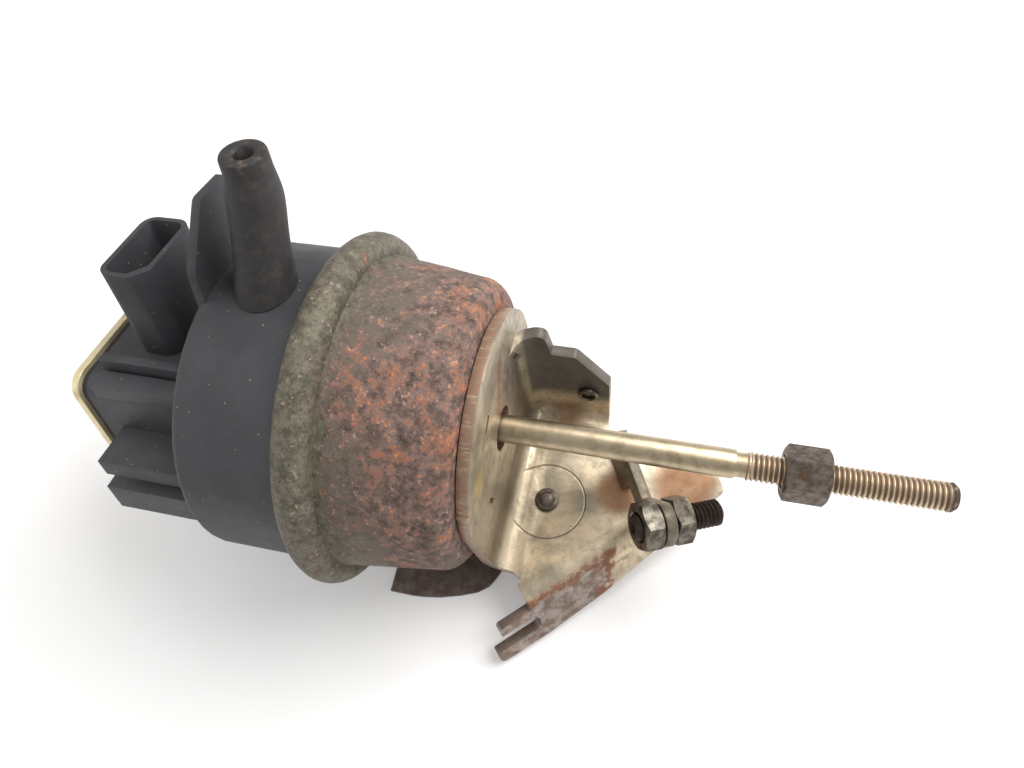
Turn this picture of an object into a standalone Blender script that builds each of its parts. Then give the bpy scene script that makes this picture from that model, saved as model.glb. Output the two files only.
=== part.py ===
"""Vacuum wastegate actuator with a position sensor, modelled at its real size.

The rod slides along +X. +Z is square to the bracket's floor, and +Y points away from the mounting flange.
Pieces are laid out about the point where the rod's axis meets the front face of the bracket's wall.
Their carriers then move them so that the world's origin is on the face of the mounting flange.
All lengths are in metres and all angles in degrees.
"""

import math

import bmesh
import bpy
from mathutils import Matrix, Vector

OBJECT_NAME = "wastegate_actuator"

# Gap kept between pieces that touch
GAP = 0.0003
# Overlap of shapes that are joined into one piece
BITE = 0.0002
ROUND_STEPS = 48
SMALL_STEPS = 24
INNER_STEPS = 32
ARC_STEP = 15.0

# Rod
ROD_D = 0.006
ROD_NECK_D = 0.0051
ROD_NECK_START = 0.048
ROD_NECK_END = 0.0505
ROD_TIP = 0.089
ROD_TIP_CHAMFER = 0.0012
THREAD_D = 0.0058

# Lock nut on the rod
LOCK_NUT_AF = 0.010
LOCK_NUT_LENGTH = 0.0087
LOCK_NUT_START = 0.0572
LOCK_NUT_TURN = -4.0

# Bracket sheet
SHEET = 0.0025
WALL_R = 0.0255
WALL_BORE_D = 0.010
FLOOR_Z = -0.0245
FLOOR_BEND_R = 0.005
WALL_NEAR_Y = -0.0240
TAB_Y = 0.0175
TAB_BEND_R = 0.003
TAB_TOP_Z = 0.0030
TAB_LOW_Z = -0.0080
TAB_SLOPE_X = 0.0126
TAB_END_X = 0.0199
EAR_TOP_Z = 0.0100
EAR_BEND_R = 0.0055
EAR_X = 0.0062
EAR_DROP = 0.0010
EAR_EDGE_R = 0.0020
TAB_EDGE_R = 0.0012
BLOCK_REACH = 0.080
WALL_LOW_Z = -0.0190
WALL_CORNER_Z = -0.0130
RIB_TOP_Z = -0.0180
RIB_END_X = 0.0062
RIB_NEAR_Y = -0.0070
RIB_FAR_Y = 0.0
SLIT_RING_R = 0.0155
SLIT_LENGTH = 0.0036
SLIT_WIDTH = 0.0012

# Bracket floor seen from above, with the points of its near neck and of its tip
FLOOR_TIP_X = 0.0485
FLOOR_FAR_Y = 0.0136
FLOOR_SHOULDER_X = 0.0240
NECK_X = 0.0008
NECK = ((0.0044, -0.0240), (0.0065, -0.0252))
TIP = ((0.0440, 0.0098), (0.0402, 0.0108), (0.0304, 0.0131))

# Mounting flange, bent down along the floor's slanted near edge
FLANGE_X = 0.0110
FLANGE_Y = -0.0300
FLANGE_TURN = 43.6
FLANGE_BEND = 65.0
FLANGE_BEND_R = 0.0017
FLANGE_DEPTH = 0.0112
FLANGE_TIP_DEPTH = 0.0028
FLANGE_BACK = 0.0130
FLANGE_EAR = 0.0100
FLANGE_ROOT = 0.0013
FLANGE_LENGTH = 0.0515
FLANGE_STOCK = 0.0160
MOUNT_ALONG = 0.0200
MOUNT_DOWN = 0.0045
FLANGE_LAP = 0.0020
TURN = math.radians(FLANGE_TURN)
BEND = math.radians(FLANGE_BEND)
SLOT_WIDTH = 0.0045
SLOT_DROP = 0.0053
SLOT_END = -0.0006
SLOT_EAR_TOP = 0.0007

# Studs on the bracket
TAB_STUD_X = 0.0150
TAB_STUD_Z = -0.0125
TAB_STUD_D = 0.0044
FLOOR_STUD_X = 0.0089
FLOOR_STUD_Y = -0.0061
FLOOR_STUD_D = 0.0048
STUD_HEIGHT = 0.0014
TAB_STUD_BORE = 0.0030
STUD_BORE_D = 0.0024

# Thin strap under the floor that runs back under the can
STRAP_Z = -0.0375
STRAP_SHEET = 0.0010
STRAP_BEND_R = 0.0026
STRAP_FRONT_X = 0.0110
STRAP_LEG_X = 0.0015
STRAP_BACK_X = -0.0240
STRAP_NEAR_Y = -0.0210
STRAP_FAR_Y = 0.0020

# Can with its rolled bead
CAN_WALL = 0.0012
CAN_FRONT_X = -SHEET - GAP
CAN_FRONT_R = 0.0302
CAN_CORNER_R = 0.0070
CAN_FLARE_R = 0.0325
CAN_FLARE_X = -0.0245
CAN_WAIST_R = 0.0310
CAN_WAIST_X = -0.0165
CAN_BORE_D = 0.0124
BEAD_X = -0.0310
BEAD_D = 0.0780
BEAD_ROLL_R = 0.0052
BEAD_LIP_R = 0.0352
BEAD_START = 60.0

# Rod guide in the can's front
GUIDE_FLANGE_D = 0.0170
GUIDE_LENGTH = 0.0075
GUIDE_FLANGE = 0.0020
SEAL_D = 0.0094
SEAL_LENGTH = 0.0022

# Plastic housing
HOUSING_R = 0.0340
HOUSING_WALL = 0.0025
HOUSING_BACK_X = -0.0560
HOUSING_EDGE_R = 0.0018
HOUSING_FLANGE_R = 0.0355
HOUSING_FLANGE = 0.0027
HOUSING_FLANGE_FRONT = -0.0316
WELL_R = 0.0062
WELL_WALL = 0.0018
WELL_END_X = -0.0700

# Sensor box, turned about the rod's axis
BOX_CLOCK = 15.0
BOX_BACK_X = -0.0835
BOX_HALF_W = 0.0182
BOX_HALF_U = 0.0158
BOX_CORNER_R = 0.0040
BOX_WALL = 0.0022
RIB_LENGTH = 0.0240
RIBS = (((0.0120, 0.0150), (0.0141, 0.0200)), ((0.0150, 0.0140), (0.0190, 0.0180)), ((0.0170, -0.0110), (0.0290, -0.0036)))
LONG_RIB_LOW = (0.0180, -0.0008)
LONG_RIB_HIGH = (0.0276, 0.0036)
LONG_RIB_PAST = -0.0040
FIN_THICK = 0.0018
FIN_OUTLINE = ((0.0005, 0.0310, 0), (0.0040, 0.0400, 0.003), (0.0156, 0.0472, 0.002), (0.0247, 0.0443, 0.001),
               (0.0149, 0.0284, 0))
POST_W = 0.0125
POST_U = 0.0100
POST_D = 0.0040
COVER_THICK = 0.0016
COVER_OVERHANG = 0.0005
COVER_EDGE = 0.0003
GASKET_THICK = 0.0010
GASKET_WIDTH = 0.0014
GASKET_INSET = 0.0004
BOARD_FRONT_X = -0.0722
BOARD_THICK = 0.0016
BOARD_MARGIN = 0.0008
CHIP_SIZE = 0.0050
CHIP_THICK = 0.0015

# Connector socket
SOCKET_X = -0.0715
SOCKET_W = -0.0025
SOCKET_TOP = 0.0370
SOCKET_LENGTH = 0.0190
SOCKET_WIDTH = 0.0105
SOCKET_WALL = 0.0011
SOCKET_DEPTH = 0.0150
SOCKET_CORNER_R = 0.0030
SOCKET_CHAMFER = 0.0030
TERMINAL_PITCH = 0.0040
TERMINAL_WIDTH = 0.0016
TERMINAL_THICK = 0.0008
TERMINAL_RISE = 0.0080
TERMINAL_ROOT = 0.0040

# Vacuum pipe and its hose end
PIPE_X = -0.0440
PIPE_CLOCK = 13.0
PIPE_TURN = 35.0
PIPE_D = 0.0056
PIPE_BORE_D = 0.0032
PIPE_LENGTH = 0.0160
HOSE_LENGTH = 0.0245
HOSE_TOP_D = 0.0096
HOSE_MID_D = 0.0106
HOSE_BASE_D = 0.0122
HOSE_TOP_BORE_D = 0.0042
HOSE_BASE = 0.0027
HOSE_LIP = 0.0022
HOSE_EDGE = 0.0007
HOSE_SWELL_START = 0.0060
HOSE_SWELL = 0.0060

# Diaphragm, piston and spring
PISTON_FRONT_X = -0.0150
PISTON_R = 0.0225
PISTON_WALL = 0.0012
PISTON_SKIRT = 0.0110
PISTON_EDGE_R = 0.0025
SPIGOT_D = 0.0040
SPIGOT_REACH = 0.0050
STEM_FLANGE = 0.0020
CLAMP_PLATE_R = 0.0180
CLAMP_PLATE_THICK = 0.0014
DIAPHRAGM_THICK = 0.0008
DIAPHRAGM_RIM_X = -0.0290
DIAPHRAGM_RIM_R = 0.0345
DIAPHRAGM_EDGE_R = 0.0028
RIM_BEAD_R = 0.0016
SPRING_R = 0.0150
SPRING_WIRE_D = 0.0020
SPRING_TURNS = 5
MAGNET_STEM_D = 0.0070
MAGNET_STEM_LENGTH = 0.0300
MAGNET_D = 0.0050
MAGNET_LENGTH = 0.0060

# Stop screw with its arm
STOP_X = 0.0365
STOP_Y = -0.0098
STOP_Z = -0.0140
STOP_TURN = 27.0
STOP_DIP = 17.0
STOP_SCREW_D = 0.0060
STOP_SCREW_BACK = 0.0078
STOP_SCREW_FRONT = 0.0150
STOP_NUT_AF = 0.0096
STOP_NUT_THICK = 0.0048
STOP_NUT_TURN = 0.0
STOP_SCREW_EDGE = 0.0006
STOP_ARM_THICK = 0.0034
STOP_ARM_R = 0.0052
STOP_ARM_NECK_H = 0.0070
STOP_ARM_TOP_C = -0.0028
STOP_ARM_END_H = 0.0243
STOP_ARM_FOOT_H = 0.0080
STOP_ARM_FOOT_C = -0.0130
STOP = math.radians(STOP_TURN)
DIP = math.radians(STOP_DIP)
WASHER_D = 0.0108
WASHER_THICK = 0.0012


def clear_scene():
    """Remove every object, collection and mesh of the open file."""
    for item in list(bpy.data.objects):
        bpy.data.objects.remove(item, do_unlink=True)
    for group in list(bpy.data.collections):
        bpy.data.collections.remove(group)


def make_collection(name):
    """Add a collection to the scene."""
    group = bpy.data.collections.new(name)
    bpy.context.scene.collection.children.link(group)
    return group


def make_material(name, colour, roughness, metallic):
    """Make a plain Principled material."""
    finish = bpy.data.materials.new(name)
    finish.use_nodes = True
    shader = finish.node_tree.nodes["Principled BSDF"]
    shader.inputs["Base Color"].default_value = (*colour, 1.0)
    shader.inputs["Roughness"].default_value = roughness
    shader.inputs["Metallic"].default_value = metallic
    return finish


def frame(origin, x_axis, y_axis):
    """Return the matrix that puts local X and Y on two directions, at an origin."""
    x = Vector(x_axis).normalized()
    z = x.cross(Vector(y_axis)).normalized()
    y = z.cross(x)
    turn = Matrix((x, y, z)).transposed().to_4x4()
    return Matrix.Translation(Vector(origin)) @ turn


def clock(angle):
    """Return the direction that leans from +Z towards +Y by an angle, square to the rod."""
    turn = math.radians(angle)
    return Vector((0.0, math.sin(turn), math.cos(turn)))


ROD_AXIS = frame((0, 0, 0), (0, 0, 1), (0, -1, 0))
PLAN = frame((0, 0, 0), (1, 0, 0), (0, 1, 0))


def add_mesh(name, mesh, place):
    """Add a mesh to the scene as an object at a place."""
    item = bpy.data.objects.new(name, mesh)
    item.matrix_world = place
    bpy.context.scene.collection.objects.link(item)
    return item


def baked(item):
    """Turn an object, with its modifiers and its place, into a plain closed mesh."""
    bpy.context.view_layer.update()
    graph = bpy.context.evaluated_depsgraph_get()
    mesh = bpy.data.meshes.new_from_object(item.evaluated_get(graph))
    mesh.transform(item.matrix_world)
    name = item.name
    bpy.data.objects.remove(item, do_unlink=True)
    work = bmesh.new()
    work.from_mesh(mesh)
    bmesh.ops.remove_doubles(work, verts=work.verts, dist=0.000002)
    bmesh.ops.dissolve_degenerate(work, dist=0.000002, edges=work.edges)
    work.to_mesh(mesh)
    work.free()
    return add_mesh(name, mesh, Matrix())


def arc(centre, radius, start, end, steps):
    """Return the points of an arc, both ends included."""
    angles = [math.radians(start + (end - start) * i / steps) for i in range(steps + 1)]
    return [(centre[0] + radius * math.cos(a), centre[1] + radius * math.sin(a)) for a in angles]


def rounded(corners):
    """Round the corners of an outline, each given as x, y and a radius."""
    points = []
    for index, (x, y, radius) in enumerate(corners):
        here = Vector((x, y))
        before = Vector(corners[index - 1][:2]) - here
        after = Vector(corners[(index + 1) % len(corners)][:2]) - here
        if radius == 0:
            points.append((x, y))
            continue
        half = before.angle(after) / 2
        reach = radius / math.tan(half)
        centre = here + (before.normalized() + after.normalized()).normalized() * radius / math.sin(half)
        first = here + before.normalized() * reach - centre
        sweep = -first.angle_signed(here + after.normalized() * reach - centre)
        steps = max(2, round(math.degrees(abs(sweep)) / ARC_STEP))
        begin = math.degrees(math.atan2(first.y, first.x))
        points += arc(centre, radius, begin, begin + math.degrees(sweep), steps)
    return points


def plate(name, outline, low, high, place=PLAN):
    """Make a flat piece with an outline in local XY, between two heights on local Z."""
    curve = bpy.data.curves.new(name, "CURVE")
    curve.dimensions = "2D"
    curve.fill_mode = "BOTH"
    curve.extrude = (high - low) / 2
    spline = curve.splines.new("POLY")
    spline.points.add(len(outline) - 1)
    for point, (x, y) in zip(spline.points, outline):
        point.co = (x, y, 0, 1)
    spline.use_cyclic_u = True
    middle = Matrix.Translation((0, 0, (high + low) / 2))
    return baked(add_mesh(name, curve, place @ middle))


def box(name, low, high, place=PLAN):
    """Make a block between two corners."""
    work = bmesh.new()
    bmesh.ops.create_cube(work, size=1)
    size = Vector(high) - Vector(low)
    bmesh.ops.scale(work, vec=size, verts=work.verts)
    bmesh.ops.translate(work, vec=(Vector(high) + Vector(low)) / 2, verts=work.verts)
    bmesh.ops.transform(work, matrix=place, verts=work.verts)
    mesh = bpy.data.meshes.new(name)
    work.to_mesh(mesh)
    work.free()
    return add_mesh(name, mesh, Matrix())


def turned(name, profile, steps=ROUND_STEPS, place=ROD_AXIS):
    """Turn a profile of radius and height about local Z; one that leaves the axis is closed to a ring."""
    mesh = bpy.data.meshes.new(name)
    ring = profile[0][0] > 0
    edges = [(i, i + 1) for i in range(len(profile) - 1)]
    if ring:
        edges.append((len(profile) - 1, 0))
    mesh.from_pydata([(r, 0, z) for r, z in profile], edges, [])
    item = add_mesh(name, mesh, place)
    spin = item.modifiers.new("turn", "SCREW")
    spin.axis = "Z"
    spin.steps = steps
    spin.render_steps = steps
    spin.use_merge_vertices = True
    spin.merge_threshold = 0.000002
    return baked(item)


def rod_between(name, diameter, start, end, steps=SMALL_STEPS):
    """Make a plain cylinder from one point to another."""
    start = Vector(start)
    way = Vector(end) - start
    side = Vector((0, 0, 1)) if abs(way.normalized().z) < 0.9 else Vector((0, 1, 0))
    place = frame(start, side.cross(way), way.cross(side.cross(way)))
    return turned(name, [(0, way.length), (diameter / 2, way.length), (diameter / 2, 0), (0, 0)], steps, place)


def combine(base, tools, operation):
    """Join, cut or trim a solid by other solids, which are used up."""
    for tool in tools:
        step = base.modifiers.new(tool.name, "BOOLEAN")
        step.operation = operation
        step.object = tool
        step.solver = "EXACT"
    result = baked(base)
    for tool in tools:
        bpy.data.objects.remove(tool, do_unlink=True)
    return result


def finish(item, name, group, look, carrier):
    """Name a finished piece, give it its look and put it under its carrier."""
    item.name = name
    item.data.name = name
    item.data.materials.clear()
    item.data.materials.append(look)
    item.data.shade_smooth()
    item.data.set_sharp_from_angle(angle=math.radians(32))
    for holder in list(item.users_collection):
        holder.objects.unlink(item)
    group.objects.link(item)
    item.parent = carrier
    return item


def hex_nut(name, across_flats, bore, low, high, turn, place):
    """Make a chamfered hexagon nut along local Z."""
    corner = across_flats / 2 / math.cos(math.radians(30))
    nut = plate(name, arc((0, 0), corner, turn, turn + 300, 5), low, high, place)
    drop = (corner - across_flats / 2 * 0.96) * math.tan(math.radians(30))
    edge = across_flats / 2 * 0.96
    wide = corner + BITE
    out = (wide - edge) * math.tan(math.radians(30))
    barrel = turned("barrel", [(0, high), (edge, high), (wide, high - out), (wide, low + out), (edge, low), (0, low)],
                    SMALL_STEPS, place)
    nut = combine(nut, [barrel], "INTERSECT")
    drill = turned("drill", [(0, high + drop), (bore / 2, high + drop), (bore / 2, low - drop), (0, low - drop)],
                   SMALL_STEPS, place)
    return combine(nut, [drill], "DIFFERENCE")


def shell(name, profile, thickness, steps=ROUND_STEPS, place=ROD_AXIS):
    """Turn an open profile about local Z and thicken it inwards to a thin wall."""
    mesh = bpy.data.meshes.new(name)
    mesh.from_pydata([(r, 0, z) for r, z in profile], [(i, i + 1) for i in range(len(profile) - 1)], [])
    item = add_mesh(name, mesh, place)
    spin = item.modifiers.new("turn", "SCREW")
    spin.axis = "Z"
    spin.steps = steps
    spin.render_steps = steps
    spin.use_merge_vertices = True
    spin.merge_threshold = 0.000002
    wall = item.modifiers.new("wall", "SOLIDIFY")
    wall.thickness = thickness
    wall.offset = -1
    wall.use_even_offset = True
    return baked(item)


def ribbon(path, thickness):
    """Return the outline of a strip that follows a path, with its thickness to the left of the path."""
    points = [Vector(p) for p in path]
    inner = []
    for index, point in enumerate(points):
        before = (point - points[index - 1]).normalized() if index else None
        after = (points[index + 1] - point).normalized() if index < len(points) - 1 else before
        before = before or after
        lean = Vector((-before.y - after.y, before.x + after.x)).normalized()
        inner.append(point + lean * thickness / max(0.2, lean.dot(Vector((-after.y, after.x)))))
    return [tuple(p) for p in points] + [tuple(p) for p in reversed(inner)]


# Directions of the sensor box: across it towards the mounting side, and up towards the socket
BOX_ACROSS = clock(BOX_CLOCK - 90)
BOX_UP = clock(BOX_CLOCK)
BOX_FRAME = frame((0, 0, 0), BOX_ACROSS, BOX_UP)
SOCKET_FRAME = frame((0, 0, 0), (-1, 0, 0), BOX_ACROSS)
PIPE_ROOT = Vector((PIPE_X, 0, 0)) + clock(PIPE_CLOCK) * HOUSING_R
PIPE_FRAME = frame(PIPE_ROOT, clock(PIPE_TURN - 90), (1, 0, 0))
FIN_FRAME = frame((0, 0, 0), (0, 1, 0), (0, 0, 1))


ALONG = frame((0, 0, 0), (math.cos(TURN), math.sin(TURN), 0), (-math.sin(TURN), math.cos(TURN), 0))


def flange_face():
    """Return the frame of the flange's face: along the bend, down the face, from where the flat part starts."""
    drop = (FLANGE_BEND_R + SHEET) * (1 - math.cos(BEND))
    out = ALONG.to_3x3() @ Vector((0, -1, 0))
    slope = out * math.cos(BEND) + Vector((0, 0, -math.sin(BEND)))
    return frame((FLANGE_X, FLANGE_Y, FLOOR_Z - drop), ALONG.to_3x3() @ Vector((1, 0, 0)), slope)


# The layout point seen from the world's origin on the flange's face
LAYOUT_POINT = -(flange_face() @ Vector((MOUNT_ALONG, MOUNT_DOWN, 0)))


def box_outline(shrink):
    """Return the sensor box's outline, smaller all round by a length."""
    wide = BOX_HALF_W - shrink
    high = BOX_HALF_U - shrink
    round_off = max(BOX_CORNER_R - shrink, BITE)
    return rounded([(wide, -high, round_off), (wide, high, round_off), (-wide, high, round_off),
                    (-wide, -high, round_off)])


def socket_outline(shrink):
    """Return the connector socket's outline, smaller all round by a length."""
    near = -SOCKET_X - SOCKET_WIDTH / 2 + shrink
    far = -SOCKET_X + SOCKET_WIDTH / 2 - shrink
    low = SOCKET_W - SOCKET_LENGTH / 2 + shrink
    high = SOCKET_W + SOCKET_LENGTH / 2 - shrink
    round_off = SOCKET_CORNER_R - shrink
    return rounded([(near, low, round_off), (far, low, round_off), (far, high, round_off),
                    (near + SOCKET_CHAMFER, high, round_off / 2), (near, high - SOCKET_CHAMFER, round_off / 2)])


def make_housing(group, look, carrier):
    """Make the moulded housing with its sensor box, socket, pipe and fin."""
    flange_front = HOUSING_FLANGE_FRONT
    flange_back = flange_front - HOUSING_FLANGE
    edge = arc((HOUSING_R - HOUSING_EDGE_R, HOUSING_BACK_X + HOUSING_EDGE_R), HOUSING_EDGE_R, 0, -90, 4)
    body = turned("body", [(0, flange_front), (HOUSING_FLANGE_R, flange_front), (HOUSING_FLANGE_R, flange_back),
                           (HOUSING_R, flange_back), *edge, (0, HOUSING_BACK_X)])
    front = -HOUSING_BACK_X - BITE
    parts = [plate("box", box_outline(0), front, -BOX_BACK_X, BOX_FRAME)]
    rib_end = RIB_LENGTH - HOUSING_BACK_X
    for low, high in RIBS:
        parts.append(box("rib", (*low, front), (*high, rib_end), BOX_FRAME))
    parts.append(box("long rib", (*LONG_RIB_LOW, front), (*LONG_RIB_HIGH, -BOX_BACK_X + LONG_RIB_PAST), BOX_FRAME))
    parts.append(plate("socket", socket_outline(0), BOX_HALF_U - BOX_WALL / 2, SOCKET_TOP, SOCKET_FRAME))
    parts.append(plate("fin", rounded(FIN_OUTLINE), HOUSING_BACK_X, HOUSING_BACK_X + FIN_THICK, FIN_FRAME))
    parts.append(turned("pipe", [(0, PIPE_LENGTH), (PIPE_D / 2, PIPE_LENGTH), (PIPE_D / 2, -HOUSING_WALL),
                                 (0, -HOUSING_WALL)], SMALL_STEPS, PIPE_FRAME))
    body = combine(body, parts, "UNION")
    inside = HOUSING_R - HOUSING_WALL
    back = HOUSING_BACK_X + HOUSING_WALL
    fillet = arc((inside - HOUSING_EDGE_R, back + HOUSING_EDGE_R), HOUSING_EDGE_R, 0, -90, 3)
    chamber = turned("chamber", [(0, flange_front + BITE), (inside, flange_front + BITE), *fillet, (0, back)])
    cavity = plate("cavity", box_outline(BOX_WALL), -HOUSING_BACK_X, -BOX_BACK_X + BITE, BOX_FRAME)
    mouth = plate("mouth", socket_outline(SOCKET_WALL), SOCKET_TOP - SOCKET_DEPTH, SOCKET_TOP + BITE, SOCKET_FRAME)
    bore = turned("bore", [(0, PIPE_LENGTH + BITE), (PIPE_BORE_D / 2, PIPE_LENGTH + BITE),
                           (PIPE_BORE_D / 2, -2 * HOUSING_WALL), (0, -2 * HOUSING_WALL)], SMALL_STEPS, PIPE_FRAME)
    body = combine(body, [chamber, cavity, mouth, bore], "DIFFERENCE")
    well_r = WELL_R + WELL_WALL
    well = turned("well", [(0, back - BITE), (well_r, back - BITE), (well_r, WELL_END_X - WELL_WALL), (0, WELL_END_X - WELL_WALL)],
                  SMALL_STEPS)
    posts = []
    post_end = BOARD_FRONT_X + GAP
    for side in (-1, 1):
        for level in (-1, 1):
            spot = BOX_FRAME @ Vector((side * POST_W, level * POST_U, 0))
            posts.append(rod_between("post", POST_D, spot + Vector((HOUSING_BACK_X + BITE, 0, 0)),
                                     spot + Vector((post_end, 0, 0)), 12))
    body = combine(body, [well, *posts], "UNION")
    tunnel = turned("tunnel", [(0, back + BITE), (WELL_R, back + BITE), (WELL_R, WELL_END_X), (0, WELL_END_X)],
                    SMALL_STEPS)
    slots = [terminal_block("slot", index, GAP, SOCKET_TOP - SOCKET_DEPTH + BITE) for index in (-1, 0, 1)]
    body = combine(body, [tunnel, *slots], "DIFFERENCE")
    finish(body, "plastic_housing", group, look, carrier)


def terminal_block(name, index, clearance, top):
    """Make the flat bar of one terminal, wider all round by a clearance."""
    across = SOCKET_W + index * TERMINAL_PITCH
    half = TERMINAL_WIDTH / 2 + clearance
    thin = TERMINAL_THICK / 2 + clearance
    foot = BOX_HALF_U - BOX_WALL - TERMINAL_ROOT
    return box(name, (-SOCKET_X - thin, across - half, foot - clearance), (-SOCKET_X + thin, across + half, top),
               SOCKET_FRAME)


def make_sensor(group, looks, carrier):
    """Make the terminals, the board, its chip, the gasket and the rear cover."""
    for index in (-1, 0, 1):
        bar = terminal_block("terminal", index, 0, SOCKET_TOP - SOCKET_DEPTH + TERMINAL_RISE)
        finish(bar, f"terminal_{index + 2}", group, looks["brass"], carrier)
    front = -BOARD_FRONT_X
    half_w = BOX_HALF_W - BOX_WALL - BOARD_MARGIN
    half_u = BOX_HALF_U - BOX_WALL - BOARD_MARGIN
    board = box("board", (-half_w, -half_u, front), (half_w, half_u, front + BOARD_THICK), BOX_FRAME)
    finish(board, "sensor_board", group, looks["board"], carrier)
    chip_front = front + BOARD_THICK + GAP
    chip = box("chip", (-CHIP_SIZE / 2, -CHIP_SIZE / 2, chip_front), (CHIP_SIZE / 2, CHIP_SIZE / 2,
                                                                      chip_front + CHIP_THICK), BOX_FRAME)
    finish(chip, "sensor_chip", group, looks["plastic"], carrier)
    seat = -BOX_BACK_X + GAP
    gasket = plate("gasket", box_outline(GASKET_INSET), seat, seat + GASKET_THICK, BOX_FRAME)
    hole = plate("hole", box_outline(GASKET_INSET + GASKET_WIDTH), seat - BITE, seat + GASKET_THICK + BITE, BOX_FRAME)
    finish(combine(gasket, [hole], "DIFFERENCE"), "cover_gasket", group, looks["rubber"], carrier)
    lid = seat + GASKET_THICK + GAP
    cover = plate("cover", box_outline(-COVER_OVERHANG), lid, lid + COVER_THICK, BOX_FRAME)
    finish(bevelled(cover, COVER_EDGE), "rear_cover", group, looks["zinc"], carrier)


def bevelled(item, width, limit=40):
    """Round the edges of a solid that are sharper than a limit."""
    edge = item.modifiers.new("edge", "BEVEL")
    edge.width = width
    edge.segments = 2
    edge.limit_method = "ANGLE"
    edge.angle_limit = math.radians(limit)
    return baked(item)


def make_hose(group, look, carrier):
    """Make the rubber hose end that is pushed over the pipe."""
    bore = PIPE_D / 2 + GAP
    top_bore = HOSE_TOP_BORE_D / 2
    seat = PIPE_LENGTH + GAP
    profile = [(top_bore, HOSE_LENGTH), (HOSE_TOP_D / 2 - HOSE_EDGE, HOSE_LENGTH),
               (HOSE_TOP_D / 2, HOSE_LENGTH - HOSE_EDGE)]
    for share in (0.25, 0.5, 0.75, 1.0):
        blend = (1 - math.cos(math.pi * share)) / 2
        profile.append(((HOSE_TOP_D + (HOSE_MID_D - HOSE_TOP_D) * blend) / 2,
                        HOSE_LENGTH - HOSE_SWELL_START - share * HOSE_SWELL))
    profile += [(HOSE_MID_D / 2, HOSE_BASE + HOSE_LIP + HOSE_EDGE), (HOSE_BASE_D / 2, HOSE_BASE + HOSE_LIP),
                (HOSE_BASE_D / 2, HOSE_BASE), (bore, HOSE_BASE), (bore, seat), (top_bore, seat + bore - top_bore)]
    hose = turned("hose", profile, SMALL_STEPS, PIPE_FRAME)
    finish(hose, "vacuum_hose_end", group, look, carrier)


def make_can(group, looks, carrier):
    """Make the sheet can with its rolled bead, and the diaphragm that the bead holds."""
    front = CAN_FRONT_X
    corner = arc((CAN_FRONT_R - CAN_CORNER_R, front - CAN_CORNER_R), CAN_CORNER_R, 90, 0, 5)
    centre = BEAD_D / 2 - BEAD_ROLL_R
    lip = -math.degrees(math.acos((BEAD_LIP_R - centre) / BEAD_ROLL_R))
    roll = arc((centre, BEAD_X), BEAD_ROLL_R, BEAD_START, lip, 9)
    flare = [(CAN_WAIST_R, CAN_WAIST_X), ((CAN_WAIST_R + CAN_FLARE_R) / 2, (CAN_WAIST_X + CAN_FLARE_X) / 2),
             (CAN_FLARE_R, CAN_FLARE_X)]
    can = shell("can", [(CAN_BORE_D / 2, front), *corner, *flare, *roll], CAN_WALL)
    finish(can, "can_shell", group, looks["rusty"], carrier)
    rim = DIAPHRAGM_RIM_X
    fold = PISTON_R + GAP + DIAPHRAGM_THICK
    top = PISTON_FRONT_X + GAP + DIAPHRAGM_THICK
    turn = arc((fold - DIAPHRAGM_EDGE_R, top - DIAPHRAGM_EDGE_R), DIAPHRAGM_EDGE_R, 90, 0, 3)
    path = [(SPIGOT_D / 2 + GAP, top), *turn, (fold, rim + DIAPHRAGM_EDGE_R),
            (fold + DIAPHRAGM_EDGE_R, rim), (DIAPHRAGM_RIM_R, rim)]
    sheet = shell("diaphragm", path, DIAPHRAGM_THICK, INNER_STEPS)
    bead = turned("rim", [(DIAPHRAGM_RIM_R + RIM_BEAD_R * math.cos(math.radians(a)),
                           rim - DIAPHRAGM_THICK / 2 + RIM_BEAD_R * math.sin(math.radians(a)))
                          for a in range(0, -360, -60)], INNER_STEPS)
    finish(combine(sheet, [bead], "UNION"), "diaphragm", group, looks["rubber"], carrier)


def make_guide(group, looks, carrier):
    """Make the rod guide in the can's front and the seal in its recess."""
    bore = ROD_D / 2 + GAP
    body = CAN_BORE_D / 2 - GAP
    front = CAN_FRONT_X + GAP / 2
    seat = CAN_FRONT_X - CAN_WALL - GAP
    recess = SEAL_D / 2 + GAP
    depth = front - SEAL_LENGTH - GAP
    guide = turned("guide", [(recess, front), (body, front), (body, seat), (GUIDE_FLANGE_D / 2, seat),
                             (GUIDE_FLANGE_D / 2, seat - GUIDE_FLANGE), (body, seat - GUIDE_FLANGE),
                             (body, front - GUIDE_LENGTH), (bore, front - GUIDE_LENGTH), (bore, depth),
                             (recess, depth)], INNER_STEPS)
    finish(guide, "rod_guide", group, looks["bronze"], carrier)
    seal = turned("seal", [(bore, front - GAP), (SEAL_D / 2, front - GAP), (SEAL_D / 2, depth + GAP),
                           (bore, depth + GAP)], INNER_STEPS)
    finish(seal, "rod_seal", group, looks["rubber"], carrier)


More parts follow.
